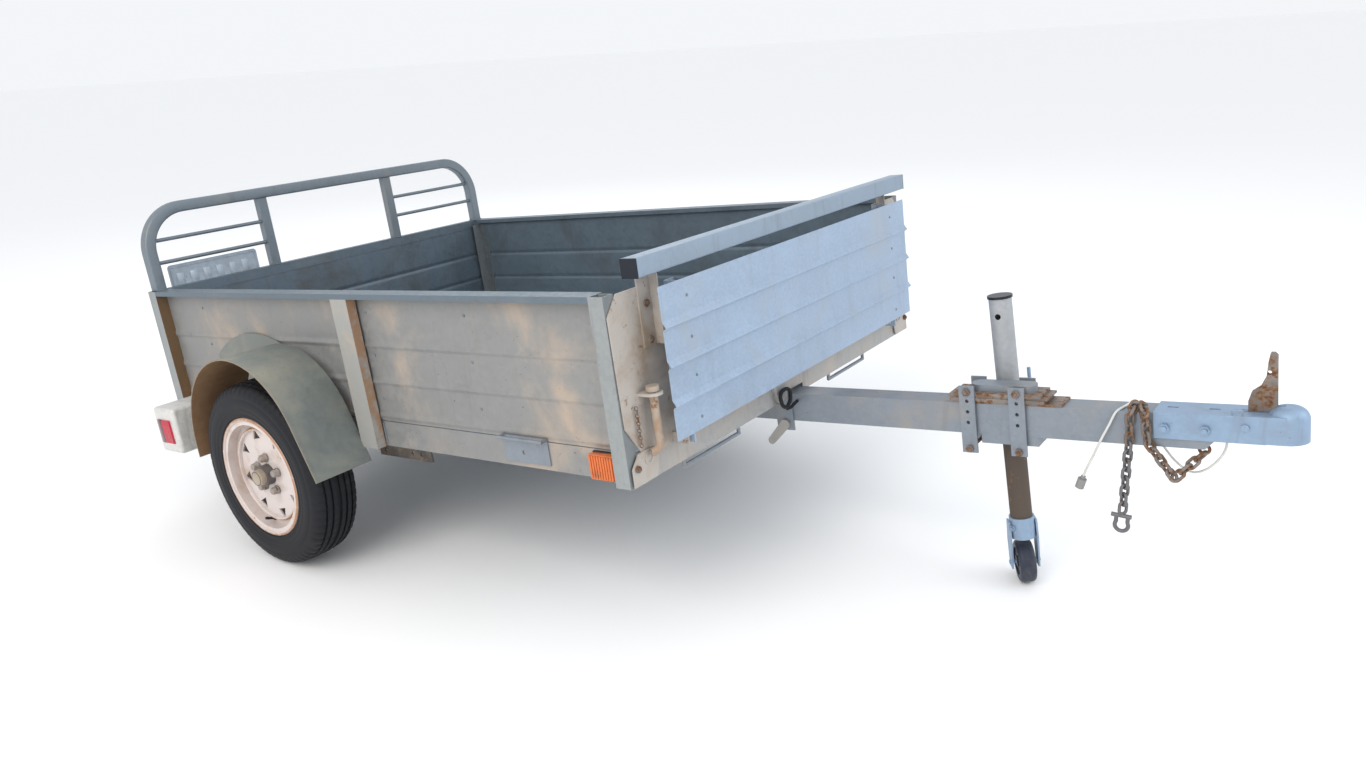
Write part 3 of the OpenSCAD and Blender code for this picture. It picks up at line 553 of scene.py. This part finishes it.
nut_steel = worn_paint("wheel nuts", (0.34, 0.31, 0.29, 1), (0.30, 0.23, 0.18, 1), 0.40,
                       size=60.0, amount=0.42, metal=0.3)
cap_tan = worn_paint("dust cap", (0.40, 0.33, 0.25, 1), (0.28, 0.22, 0.165, 1), 0.3, size=60.0, amount=0.45)

# %% [markdown]
# The leg pipe was galvanised, but its lower half has been scraped by the clamp and rained on, so
# it is brown from the clamp down. A height sets where the change is, and noise makes it ragged.

# %% Leg pipe, zinc above and rust below
leg_pipe, tree, shader = start("leg pipe")
base = effect(tree, spangle, Color=(0.37, 0.385, 0.40, 1), Contrast=0.25)
rusted = effect(tree, rust, Color=(0.105, 0.082, 0.065, 1), Amount=0.42, Size=42.0)
where = object_space(tree)
ragged = noise_of(tree, where, Scale=18.0, Detail=6.0)
level = math_of(tree, "MULTIPLY_ADD", ragged, 0.16, part_of(tree, where, "Z"))
clean = ramp_of(tree, level, 0.60, 0.68)
color = mix_of(tree, clean, rusted["Color"], base["Color"])
spotted = effect(tree, rust, Color=color, Amount=0.34, Size=26.0)
rough = ramp_of(tree, clean, 0.0, 1.0, 0.8, 0.5)
finish_surface(tree, shader, spotted["Color"], rough, rusted["Height"], 0.3, Metallic=0.3)

# %% [markdown]
# White rims rust where the paint is stressed: in a ring along the lip and round the disc's edge.
# The distance from the axle gives the rings, and noise breaks them up.

# %% Rim paint with rusty rings
rim_paint, tree, shader = start("rim paint")
where = object_space(tree)
far = vector_of(tree, "DISTANCE", beside_axle(tree, where), tuple(axle), "Value")
wander = noise_of(tree, where, Scale=34.0, Detail=6.0, Roughness=0.7)
dusty = effect(tree, grime_and_sun_patches, Color=(0.62, 0.555, 0.53, 1), Dust=(0.50, 0.40, 0.34, 1),
               Amount=0.38, Specks=0.4, Size=14.0)["Color"]
for ring, width in ((0.1935, 0.008), (0.1545, 0.007)):
    off = math_of(tree, "ABSOLUTE", math_of(tree, "SUBTRACT", far, ring))
    near = ramp_of(tree, off, 0.0, width, 1.0, 0.0)
    near = product(tree, near, ramp_of(tree, wander, 0.30, 0.50))
    dusty = mix_of(tree, near, dusty, (0.40, 0.19, 0.085, 1))
rusted = effect(tree, rust, Color=dusty, Amount=0.37, Size=34.0)
rough = ramp_of(tree, rusted["Mask"], 0, 1, 0.34, 0.85)
finish_surface(tree, shader, rusted["Color"], rough, rusted["Height"], 0.25)

# %% Tyre rubber and other black parts
def dark_rubber(name, color, dust, amount, rough=0.75):
    made, tree, shader = start(name)
    dirty = effect(tree, grime_and_sun_patches, Color=color, Dust=dust, Amount=amount, Specks=0.2, Size=13.0)
    where = object_space(tree)
    skin = noise_of(tree, where, Scale=420.0, Detail=2.0)
    roughness = ramp_of(tree, dirty["Mask"], 0.0, 1.0, rough - 0.16, rough + 0.15)
    finish_surface(tree, shader, dirty["Color"], roughness, skin, 0.12, 0.0004,
                   Specular_IOR_Level=0.3)
    return made


tyre_rubber = dark_rubber("tyre rubber", (0.0065, 0.0072, 0.0105, 1), (0.050, 0.045, 0.043, 1), 0.24)
strap_rubber = dark_rubber("strap rubber", (0.012, 0.012, 0.014, 1), (0.06, 0.055, 0.05, 1), 0.24)
cap_black = dark_rubber("black cap", (0.010, 0.013, 0.022, 1), (0.05, 0.055, 0.065, 1), 0.22, 0.5)
castor_black = dark_rubber("castor tread", (0.030, 0.036, 0.055, 1), (0.13, 0.12, 0.12, 1), 0.36, 0.6)
cable_white = dark_rubber("cable sheath", (0.66, 0.66, 0.62, 1), (0.40, 0.37, 0.32, 1), 0.32, 0.6)
plug_grey = dark_rubber("plug shell", (0.26, 0.26, 0.25, 1), (0.16, 0.15, 0.14, 1), 0.32, 0.6)


# %% Lamp lenses: coloured plastic, dull from the sun
def lens(name, color, dust, amount=0.25):
    made, tree, shader = start(name)
    dirty = effect(tree, grime_and_sun_patches, Color=color, Dust=dust, Amount=amount, Specks=0.3, Size=26.0)
    roughness = ramp_of(tree, dirty["Mask"], 0.0, 1.0, 0.16, 0.5)
    finish_surface(tree, shader, dirty["Color"], roughness, Coat_Weight=0.5, Coat_Roughness=0.12)
    return made


red_lens = lens("red lens", (0.52, 0.006, 0.035, 1), (0.22, 0.02, 0.02, 1))
dark_lens = lens("dark lens", (0.10, 0.012, 0.02, 1), (0.05, 0.03, 0.03, 1))
amber_lens = lens("amber lens", (0.62, 0.13, 0.012, 1), (0.22, 0.07, 0.02, 1), 0.34)

# %% Give every CAD part its finish
finish_of = {
    section_zinc: ["rear_rail", "hoop", "hoop_bars", "clamp_saddle"],
    rail_zinc: ["top_rails", "rear_top_rail"],
    header_zinc: ["header_rail"],
    dusty_zinc: ["front_rail", "latch_tongue", "latch_lever"],
    bar_zinc: ["drawbar_beam", "clamp_straps", "latch_bracket", "clamp_plates", "rope_rails"],
    inner_zinc: ["floor_sheet", "cross_members", "rear_panel"],
    side_sheet: ["side_panels", "side_rails"],
    post_steel: ["corner_posts"],
    guard_zinc: ["mudguards"],
    gate_blue: ["front_gate", "gate_frame"],
    pale_zinc: ["coupling_body", "coupling_fixings", "clamp_handle", "castor_fork"],
    cream_paint: ["corner_plates", "latch_ears", "header_brackets"],
    rusty_rod: ["latch_rod_right", "latch_rod_left"],
    stanchion_paint: ["stanchions"],
    rusty_steel: ["packing_plates", "clamp_bolts", "coupling_lever", "safety_chain", "plate_bolts"],
    dark_chain: ["chain_drop"],
    underside: ["axle_beam", "leaf_springs"],
    strap_rubber: ["latch_rubber"],
    tyre_rubber: ["tyre_right", "tyre_left"],
    rim_paint: ["rim_right", "rim_left"],
    hub_iron: ["hub_right", "hub_left"],
    lamp_paint: ["lamp_boxes"],
    red_lens: ["red_lenses"],
    amber_lens: ["marker_lamps"],
    plate_metal: ["number_plate"],
    cable_white: ["cable"],
    plug_grey: ["plug"],
    cap_black: ["header_caps", "leg_cap"],
    leg_pipe: ["leg_tube"],
    castor_black: ["castor_wheel"],
}
for material, names in finish_of.items():
    for name in names:
        node = frame["nodes"][name]
        if not node.material_slots:
            node.data.materials.append(material)
        for slot in node.material_slots:
            slot.material = material
cable.data.materials.append(cable_white)
left_out = set(frame["nodes"]) - {n for names in finish_of.values() for n in names}
print("parts without a finish:", sorted(left_out))


def dress(piece, material, slot, *nodes):
    """Gives a new piece its material, and hides the CAD parts it stands for. Its slot is not used."""
    piece.data.materials.append(material)
    if nodes:
        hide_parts(*nodes)
    return piece


# %% [markdown]
# ## Pressed sheets
# The gate and the tray's walls are thin sheet with folded beads that stiffen them. A real press
# leaves a small radius at every fold, and that radius is what catches the light. So the outline is
# rounded at each corner before it is swept along the sheet.

# %% Rounded bead outline
SHEET = 0.002


def rounded(line, radius, steps=4):
    """Cuts each inner corner of a line of (x, y) points with a small curve."""
    line = [Vector(p) for p in line]
    out = [line[0]]
    for a, b, c in zip(line, line[1:], line[2:]):
        r = min(radius, (a - b).length * 0.45, (c - b).length * 0.45)
        p, q = b + (a - b).normalized() * r, b + (c - b).normalized() * r
        for k in range(steps + 1):
            t = k / steps
            out.append((1 - t) ** 2 * p + 2 * t * (1 - t) * b + t * t * q)
    return out + [line[-1]]


def bead_outline(height, ribs, depth, low, high):
    line = [(0, 0)]
    for r in ribs:
        line += [(0, r - low), (depth, r), (0, r + high)]
    return rounded(line + [(0, height)], 0.004)


def thicken(line, t):
    """Closes a line into a strip of sheet, t thick, on its negative side."""
    back_side = []
    for i, p in enumerate(line):
        along = (line[min(i + 1, len(line) - 1)] - line[max(i - 1, 0)]).normalized()
        back_side.append(p + t * Vector((-along.y, along.x)))
    return [tuple(p) for p in line] + [tuple(p) for p in reversed(back_side)]


def sweep_straight(name, outline, stations, to_point, body):
    """Sweeps a closed outline; to_point(u, v, s) places its point (u, v) at station s."""
    points = [to_point(u, v, s) for s in stations for u, v in outline]
    n = len(outline)
    faces = rings_to_faces(len(stations), n, False)
    half = n // 2
    for base in (0, (len(stations) - 1) * n):
        faces += [(base + k, base + k + 1, base + n - 2 - k, base + n - 1 - k)
                  for k in range(half - 1)]
    return piece_from(name, points, faces, body, tray, smooth=50)


def stations(low, high, count):
    return [low + (high - low) * i / count for i in range(count + 1)]


# %% Front gate: deep beads with a sharp lower edge
GATE_X, GATE_FOOT, GATE_HEIGHT, GATE_HALF = 0.075, 0.093, 0.390, 0.690
GATE_RIBS = (0.090, 0.189, 0.287)

gate_outline = thicken(bead_outline(GATE_HEIGHT, GATE_RIBS, 0.0115, 0.005, 0.017), SHEET)
gate = sweep_straight("gate_sheet", gate_outline, stations(-GATE_HALF, GATE_HALF, 12),
                      lambda u, v, s: (GATE_X + u, s, GATE_FOOT + v), "gate")
dress(gate, gate_blue, "gate_sheet", "front_gate")

# %% Side and rear walls: shallow beads, with the slight oil-canning of thin sheet
WALL_RIBS, WALL_FOOT = (0.016, 0.123, 0.236), 0.084
SIDE_HEIGHT, SIDE_ENDS, SIDE_Y = 0.394, (-2.1315, -0.0485), 0.7666
REAR_HEIGHT, REAR_HALF, REAR_X = 0.3655, 0.764, -2.148


def wall_outline(height):
    return thicken(bead_outline(height, WALL_RIBS, 0.005, 0.010, 0.014), SHEET)


def oil_can(along, up_wall, height):
    """How far a thin wall bellies between its edges."""
    edge = math.sin(math.pi * min(1, max(0, up_wall / height)))
    return 0.0012 * edge * math.sin(5.1 * along) * math.cos(17.0 * up_wall)


for side, sign in SIDES:
    wall = sweep_straight(
        "side_wall_" + side, wall_outline(SIDE_HEIGHT), stations(*SIDE_ENDS, 60),
        lambda u, v, s: (s, sign * (SIDE_Y + u + oil_can(s, v, SIDE_HEIGHT)), WALL_FOOT + v), "tray")
    dress(wall, side_sheet, "galvanised_sheet", *(["side_panels"] if side == "right" else []))
rear_wall = sweep_straight(
    "rear_wall", wall_outline(REAR_HEIGHT), stations(-REAR_HALF, REAR_HALF, 30),
    lambda u, v, s: (REAR_X - u, s, WALL_FOOT + v + oil_can(s, v, 0.36) * 0.2), "tray")
dress(rear_wall, inner_zinc, "galvanised_sheet", "rear_panel")

# %% [markdown]
# ## Rounded box sections
# Box section is rolled from strip, so its corners are round. The CAD tubes have sharp corners,
# which reads as wood. The hoop and the header rail are swept again here, with the same outside size
# and a corner radius of about twice the wall.

# %% Rounded rectangle and its sweep along a line in a plane
def rounded_rectangle(width, height, radius, steps=4):
    points = []
    for cx, cy, turn in ((1, 1, 0), (-1, 1, 90), (-1, -1, 180), (1, -1, 270)):
        points += arc(cx * (width / 2 - radius), cy * (height / 2 - radius), radius,
                      turn, turn + 90, steps)
    return points


def arc(cx, cy, r, a0, a1, steps):
    """Points round (cx, cy) from angle a0 to a1, in degrees."""
    return [(cx + r * math.cos(math.radians(a0 + (a1 - a0) * i / steps)),
             cy + r * math.sin(math.radians(a0 + (a1 - a0) * i / steps))) for i in range(steps + 1)]


def box_section(name, line, across, width, height, radius, wall, body, place, caps=True):
    """Sweeps a rounded rectangle, hollow with open ends unless caps closes them: its width lies along the
    direction across.
    """
    outer = rounded_rectangle(width, height, radius)
    inner = rounded_rectangle(width - 2 * wall, height - 2 * wall, max(radius - wall, 0.0008))
    rings = [outer] if caps else [inner, outer]
    across, points, n = Vector(across), [], len(outer)
    line = [Vector(p) for p in line]
    for ring in rings:
        for i, p in enumerate(line):
            along = (line[min(i + 1, len(line) - 1)] - line[max(i - 1, 0)]).normalized()
            up_side = along.cross(across).normalized()
            points += [p + across * u + up_side * v for u, v in ring]
    faces, each = [], len(line) * n
    for k in range(len(rings)):
        faces += [tuple(k * each + v for v in f) for f in rings_to_faces(len(line), n, False)]
    for base in (0, (len(line) - 1) * n):
        if caps:
            faces.append(tuple(base + k for k in range(n)))
        else:
            faces += [(base + k, base + (k + 1) % n, each + base + (k + 1) % n, each + base + k)
                      for k in range(n)]
    return piece_from(name, points, faces, body, place, smooth=40)


# %% Hoop and header rail
HOOP_BEND, HOOP_HALF, HOOP_TOP, TUBE = 0.170, 0.792, 0.785, 0.040
HOOP_X, HOOP_FOOT, BEND_FOOT = -2.160, 0.484, 0.55
HEADER_X, HEADER_Z, HEADER_HALF = 0.035, 0.5375, 0.735
WALL = 0.003                               # wall of the box sections

bend = [(HOOP_BEND - HOOP_HALF + y, HOOP_TOP - HOOP_BEND + z)
        for y, z in arc(0, 0, HOOP_BEND - TUBE / 2, 180, 90, 14)]
half_hoop = [(TUBE / 2 - HOOP_HALF, HOOP_FOOT), (TUBE / 2 - HOOP_HALF, BEND_FOOT)] + bend
hoop_line = ([(HOOP_X, y, z) for y, z in half_hoop]
             + [(HOOP_X, -y, z) for y, z in reversed(half_hoop)])
hoop_piece = box_section("rounded_hoop", hoop_line, (1, 0, 0), TUBE, TUBE, 0.006, WALL,
                         "tray", tray)
dress(hoop_piece, section_zinc, "galvanised_section", "hoop")
header_line = [(HEADER_X, y, HEADER_Z) for y in stations(-HEADER_HALF, HEADER_HALF, 8)]
header = box_section("rounded_header", header_line, (1, 0, 0), 0.050, 0.049, 0.005, WALL,
                     "tray", tray, caps=False)
dress(header, header_zinc, "galvanised_section", "header_rail")

# %% [markdown]
# ## Tyres
# A tyre is a turned shape with a moulded surface. The outline gives the bulge, the rim protector
# and the fine rings on the sidewall. Then the tread: the outline's crown points are pushed in where
# a groove runs, and the shoulder blocks alternate around the wheel.

# %% Outline of half a tyre, from the bead to the crown
TYRE_R, RIM_R, TYRE_HALF = 0.303, 0.196, 0.081
SIDEWALL = [(RIM_R + r, y) for r, y in (
    (-0.012, 0.066), (-0.001, 0.0705), (0.004, 0.0745), (0.007, 0.0775), (0.011, 0.0775),
    (0.013, 0.0765), (0.024, 0.0795), (0.030, 0.0805), (0.032, 0.0798), (0.035, 0.0806),
    (0.048, 0.0808), (0.062, 0.0793), (0.064, 0.0783), (0.067, 0.0788), (0.080, 0.0760),
    (0.088, 0.0725), (0.094, 0.0690), (0.099, 0.0640), (0.1025, 0.0570))]
# The crown's points, from the shoulder to the middle: how far out, and if a groove runs there.
CROWN = [(0.0530, 0), (0.0500, 0), (0.0485, 1), (0.0440, 1), (0.0425, 0), (0.0290, 0),
         (0.0275, 1), (0.0220, 1), (0.0205, 0), (0.0075, 0), (0.0060, 1), (0.0, 1)]
CROWN_HALF, CROWN_DROP = 0.053, 0.0036
GROOVE, NOTCH, DEEP_SIPE, FINE_SIPE = 0.0065, 0.004, 0.003, 0.0016
FIRST_NOTCHED = 15                         # the sidewall's points from here on are notched
TREAD_STEPS = 264


def sipe_depth(step, y):
    """The cut in a rib: deep ones in the outer rib, fine ones halfway between them inside."""
    if step % 4 == 0 and y > 0.04:
        return DEEP_SIPE
    return FINE_SIPE if step % 4 == 2 and 0.005 < y < 0.035 else 0.0


def tyre_outline(step):
    """The outline at one step round the tyre. Every fourth step notches the shoulder."""
    half = []
    for i, (r, y) in enumerate(SIDEWALL):
        notch = NOTCH if step % 4 == 0 and i >= FIRST_NOTCHED else 0.0
        half.append((r - notch, y))
    for y, groove in CROWN:
        r = TYRE_R - CROWN_DROP * (y / CROWN_HALF) ** 2
        half.append((r - (GROOVE if groove else sipe_depth(step, y)), y))
    other = [(r, -y) for r, y in reversed(half[:-1])]
    inside = [(RIM_R - 0.012, -0.056), (RIM_R + 0.06, -0.066), (TYRE_R - 0.018, -0.045),
              (TYRE_R - 0.018, 0.045), (RIM_R + 0.06, 0.066), (RIM_R - 0.012, 0.056)]
    return half + other + inside


def wheel_place(sign):
    """Wheel frame: Z points outwards along the axle."""
    spot = (axle.x, sign * abs(right_wheel.y), axle.z)
    return Matrix.Translation(spot) @ Matrix.Rotation(math.pi / 2 * -sign, 4, "X")


for side, sign in SIDES:
    tyre = lathe("moulded_tyre_" + side, tyre_outline, "wheel_" + side, wheel_place(sign),
                 TREAD_STEPS, smooth=42)
    dress(tyre, tyre_rubber, "tyre_rubber", "tyre_" + side)
print("tyre faces", len(tyre.data.polygons))

# %% [markdown]
# ## Rim details
# The pressed disc sits deep in the rim. Round it run a rolled lip and a pressed step, and at its
# middle stand five nuts and the tan dust cap over the bearing. The valve comes through the barrel.

# %% Outlines of the rim's details, as (radius, height)
DISC = 0.040                               # outer face of the disc, from the wheel's middle plane
LIP = arc(RIM_R - 0.0035, 0.0725, 0.0052, 0, 345, 14)
STEP = ([(0.146, DISC + 0.004)] + arc(0.1515, DISC + 0.0075, 0.0045, 180, 0, 8)
        + [(0.157, DISC + 0.003), (0.157, DISC - 0.001), (0.146, DISC - 0.001)])
CAP = ([(0.0005, 0.058), (0.0258, 0.058), (0.0278, 0.060), (0.0278, 0.064),
        (0.0266, 0.0655), (0.0266, 0.081)]
       + arc(0.0206, 0.081, 0.006, 0, 90, 6) + [(0.011, 0.0882), (0.0005, 0.0885)])
VALVE = [(0.0005, 0), (0.0065, 0), (0.0065, 0.006), (0.0042, 0.009), (0.0042, 0.026),
         (0.0048, 0.027), (0.0048, 0.038), (0.004, 0.0395), (0.0005, 0.0395)]
NUT = [(0.0005, 0), (0.0150, 0), (0.0125, 0.005), (0.0120, 0.0145), (0.0098, 0.0185),
       (0.0005, 0.020)]
NUTS, NUT_CIRCLE, FIRST_NUT = 5, 0.0571, 18

# %% Lip, step, dust cap, valve and nuts of each wheel
valve_place = (Matrix.Rotation(math.radians(-97), 4, "Z") @ Matrix.Translation((0.164, 0, 0.036))
               @ Matrix.Rotation(math.radians(-24), 4, "Y"))
for side, sign in SIDES:
    place, body = wheel_place(sign), "wheel_" + side
    dress(lathe("rim_lip_" + side, LIP, body, place), rim_paint, "rim_paint")
    dress(lathe("disc_step_" + side, STEP, body, place), rim_paint, "rim_paint")
    dress(lathe("dust_cap_" + side, CAP, body, place, 48), cap_tan, "hub_casting")
    dress(lathe("valve_" + side, VALVE, body, place @ valve_place, 20), cap_black, "cap_plastic")
    for k in range(NUTS):
        a = math.radians(360 / NUTS * k + FIRST_NUT)
        spot = (NUT_CIRCLE * math.cos(a), NUT_CIRCLE * math.sin(a), DISC + 0.0045)
        nut = lathe(f"nut_cone_{side}_{k}", NUT, body, place @ Matrix.Translation(spot), 24)
        dress(nut, nut_steel, "hub_casting")

# %% [markdown]
# ## Lamps
# The tail lamps sit in folded boxes with soft corners. The lenses are ribbed to spread their light:
# a row of thin rounded bars over a slab is enough to give the ribs real edges.

# %% Lamp boxes and lenses on both sides
def mirrored(low, high, sign):
    (x0, y0, z0), (x1, y1, z1) = low, high
    ys = sorted((sign * y0, sign * y1))
    return (x0, ys[0], z0), (x1, ys[1], z1)


def row_of(count, step, low, high, sign):
    """A row of boxes, each one step on from the last."""
    return [mirrored([v + k * d for v, d in zip(low, step)],
                     [v + k * d for v, d in zip(high, step)], sign) for k in range(count)]


shells, red_glass, dark_glass, amber_glass, seats = [], [], [], [], []
for sign in (-1, 1):
    shells.append(mirrored((-1.990, 0.807, -0.042), (-1.856, 0.985, 0.118), sign))
    red_glass.append(mirrored((-1.938, 0.985, -0.006), (-1.886, 0.989, 0.078), sign))
    red_glass += row_of(8, (0.0064, 0, 0), (-1.937, 0.9885, -0.004), (-1.9325, 0.9912, 0.076), sign)
    dark_glass.append(mirrored((-1.966, 0.985, -0.006), (-1.9385, 0.9905, 0.078), sign))
    red_glass.append(mirrored((-1.995, 0.830, -0.018), (-1.990, 0.970, 0.066), sign))
    red_glass += row_of(17, (0, 0.0078, 0), (-1.998, 0.832, -0.016), (-1.9945, 0.8375, 0.064), sign)
    amber_glass.append(mirrored((-0.136, 0.776, 0.010), (-0.056, 0.796, 0.078), sign))
    amber_glass += row_of(9, (0.0086, 0, 0), (-0.134, 0.7945, 0.013), (-0.1275, 0.7995, 0.075), sign)
    seats.append(mirrored((-0.138, 0.7685, 0.008), (-0.054, 0.778, 0.080), sign))
for name, boxes, edge, steps, *finish in (
        ("lamp_shells", shells, 0.012, 5, lamp_paint, "lamp_shell", "lamp_boxes"),
        ("ribbed_red_lenses", red_glass, 0.0009, 2, red_lens, "red_lens", "red_lenses"),
        ("dark_lens_ends", dark_glass, 0.0015, 2, dark_lens, "red_lens"),
        ("ribbed_amber_lenses", amber_glass, 0.0012, 2, amber_lens, "amber_lens", "marker_lamps"),
        ("amber_lens_seats", seats, 0.003, 3, cap_black, "cap_plastic")):
    dress(soft_boxes(name, boxes, edge, "tray", tray, steps), *finish)

# %% [markdown]
# A thin curved sheet of darker olive zinc stands on each wall, round the top of the mudguard. It is
# no part of the trailer: it paints the mudguard's cast shadow on the wall, an olive arc above the guard.

# %% Painted shadows of the mudguards, as thin plates on the walls
SHADOW_PLATE_FACES = (0.7738, 0.7753)           # the plate's inner and outer face
shadow_arc = arc(-1.600, -0.090, 0.430, 126, 54, 18)
outline = shadow_arc + [(shadow_arc[-1][0], 0.090), (shadow_arc[0][0], 0.090)]
n = len(outline)
faces = [tuple(range(n)), tuple(range(n, 2 * n))]
faces += [(k, (k + 1) % n, n + (k + 1) % n, n + k) for k in range(n)]
for side, sign in SIDES:
    points = [(x, sign * y, z) for y in SHADOW_PLATE_FACES for x, z in outline]
    plate = piece_from("guard_shadow_plate_" + side, points, faces, "tray", tray)
    dress(plate, guard_shadow_paint, "galvanised_sheet")

# %% [markdown]
# ## Small steel details
# Pop rivets, weld beads and the border of the plate make bare metalwork look made, not drawn.

# %% Weld beads: a tube whose thickness pulses like the passes of a torch
WELD_R = 0.0028
RAIL_TOP = 0.4845                          # top of the rear rail, where the hoop stands


def weld(name, start_at, end_at, body, place):
    line = [Vector(start_at).lerp(Vector(end_at), i / 40) for i in range(41)]
    piece = tube(name, line, lambda i: WELD_R * (1.0 + 0.28 * math.sin(2.4 * i)), body, place, 8)
    dress(piece, section_zinc, "galvanised_section")


TRAY_WELDS = [
    ("hoop_weld_{}", (-2.1385, 0.754, RAIL_TOP), (-2.1385, 0.790, RAIL_TOP)),
    ("hoop_side_weld_{}", (-2.178, 0.7525, RAIL_TOP), (-2.143, 0.7525, RAIL_TOP)),
    ("strut_weld_{}", (-2.1455, 0.284, RAIL_TOP), (-2.1455, 0.316, RAIL_TOP)),
    ("rail_weld_{}_80", (-0.080, 0.7695, 0.012), (-0.080, 0.7695, 0.078)),
    ("rail_weld_{}_996", (-0.996, 0.7695, 0.012), (-0.996, 0.7695, 0.078)),
]
for side, sign in SIDES:
    for name, *ends in TRAY_WELDS:
        weld(name.format(side), *[(x, sign * y, z) for x, y, z in ends], "tray", tray)
for label, x in (("near", -0.054), ("far", 0.054)):
    weld("saddle_weld_" + label, (x, -0.0325, -0.046), (x, -0.0325, 0.046), "drawbar", leg)

# %% Pop rivets along the rails and the gate
RIVET_R = 0.0042


def rivet_heads(name, spots, outward, body):
    work = bmesh.new()
    for spot in spots:
        made = bmesh.ops.create_uvsphere(work, u_segments=12, v_segments=6, radius=RIVET_R)
        for v in made["verts"]:
            v.co = Vector(spot) + v.co - outward * v.co.dot(outward) * 0.5
    work.transform(tray)
    dress(riding(name, mesh_of(name, work), body), section_zinc, "galvanised_section")


for side, sign in SIDES:
    rivet_heads("side_rivets_" + side,
                [(x, sign * 0.7675, z) for x in (-0.075, -0.54, -0.97, -1.11, -1.9)
                 for z in (0.155, 0.29, 0.42)], Vector((0, sign, 0)), "tray")
rivet_heads("gate_rivets", [(0.0755, y, z) for y in (-0.581, 0.581)
                            for z in (0.125, 0.235, 0.335, 0.44)], Vector((1, 0, 0)), "gate")

# %% Number plate: a pressed border and blank pressed bars
corners = [Vector((0, y, z)) for y, z in ((-0.706, 0.446), (-0.706, 0.550),
                                          (-0.368, 0.550), (-0.368, 0.446))]
border = [a.lerp(b, t / 8) for a, b in zip(corners, corners[1:] + corners[:1]) for t in range(8)]
for x, label in ((-2.1822, "back"), (-2.1803, "front")):
    ring = tube("plate_border_" + label, [(x, p.y, p.z) for p in border], 0.0022,
                "tray", tray, 8, True)
    dress(ring, plate_metal, "plate_blank")
bars = [((-2.1812, -0.688 + 0.052 * k, 0.468), (-2.1788, -0.660 + 0.052 * k, 0.528))
        for k in range(6)]
dress(soft_boxes("plate_bars", bars, 0.0011, "tray", tray, 2), plate_metal, "plate_blank")

# %% [markdown]
# ## The keeper chain on the corner latch
# A short light chain keeps the latch pin from being lost. Each link is a flattened ring, turned a
# quarter against the one before.

# %% Small chain beside each latch rod
def small_link(points, faces, middle, along, turn, length=0.0125, width=0.0042, wire=0.0014):
    side = Matrix.Rotation(turn, 3, along) @ along.orthogonal().normalized()
    line = [middle + along * (length / 2) * math.cos(a) + side * width * math.sin(a)
            for a in (math.tau * i / 16 for i in range(16))]
    p, f = tube_mesh(line, wire, 6, True)
    base = len(points)
    points += p
    faces += [tuple(base + v for v in face) for face in f]


for side, sign in SIDES:
    points, faces = [], []
    for k in range(11):
        spot = Vector((0.012, sign * 0.757, 0.196 - 0.0094 * k))
        small_link(points, faces, spot, Vector((0.05, 0, -1)).normalized(),
                   math.pi / 2 * (k % 2) + 0.4)
    chain = piece_from("keeper_chain_" + side, points, faces, "tray", tray)
    dress(chain, rusty_steel, "rusty_steel")

# %% [markdown]
# ## Rubber strap on the tilt latch
# The strap is one soft loop over the latch knob, with a tail that runs back to the drawbar. A
# curve that sags a little looks like rubber; a perfect circle looks like a washer.

# %% The strap
STRAP_X, STRAP_Y, STRAP_Z, STRAP_R = 0.026, -0.100, 0.006, 0.027
strap_line = []
for i in range(36):
    a = math.tau * i / 36
    droop = 0.006 * math.cos(a) ** 2 if math.sin(a) < 0 else 0.0
    strap_line.append((STRAP_X + 0.002 * math.sin(2 * a),
                       STRAP_Y + STRAP_R * math.cos(a) * (1.0 + 0.15 * math.sin(a)),
                       STRAP_Z + STRAP_R * math.sin(a) - droop))
strap = tube("latch_strap", strap_line, 0.0058, "drawbar", bar, 12, True)
dress(strap, strap_rubber, "rubber_strap", "latch_rubber")
tail = smooth_line([(STRAP_X, y, z) for y, z in ((STRAP_Y, -0.027), (-0.080, -0.030),
                                                 (-0.058, -0.026), (-0.0395, -0.022))], 6)
dress(tube("strap_tail", tail, 0.005, "drawbar", bar, 12), strap_rubber, "rubber_strap")

# %% [markdown]
# A pale floor, a pale sky and three broad soft lights are enough: the key on the near side, a
# cooler one ahead of the trailer and a weak one behind it on the far side. Bare zinc shows its
# shape by what it mirrors, so large lights suit it.

# %% Floor
work = bmesh.new()
bmesh.ops.create_grid(work, x_segments=1, y_segments=1, size=400.0)
floor_mesh = bpy.data.meshes.new("floor")
work.to_mesh(floor_mesh)
work.free()
floor = in_scene("floor", floor_mesh)
floor_paint, tree, shader = start("studio floor")
shader.inputs["Base Color"].default_value = (0.97, 0.97, 0.97, 1)
shader.inputs["Roughness"].default_value = 0.9
floor.data.materials.append(floor_paint)


# %% Lights and sky
def soft_light(name, spot, target, size, power, color):
    data = bpy.data.lights.new(name, "AREA")
    data.shape = "SQUARE"
    data.size = size
    data.energy = power
    data.color = color
    light = in_scene(name, data)
    light.location = spot
    light.rotation_euler = (Vector(target) - Vector(spot)).to_track_quat("-Z", "Y").to_euler()


soft_light("key", (0.5, -5.5, 4.6), (0, 0, 0.4), 4.5, 210.0, (1.0, 0.95, 0.89))
soft_light("front", (5.5, 1.5, 3.6), (0.5, 0, 0.4), 4.0, 90.0, (0.86, 0.93, 1.0))
soft_light("far_side", (-4.5, 4.5, 4.8), (-0.5, 0, 0.4), 4.0, 70.0, (0.92, 0.96, 1.0))

world = bpy.data.worlds.new("studio")
world.use_nodes = True
sky = world.node_tree.nodes["Background"].inputs
sky["Color"].default_value = (0.95, 0.97, 1.0, 1)
sky["Strength"].default_value = 0.95
bpy.context.scene.world = world
bpy.context.scene.view_settings.view_transform = "Standard"
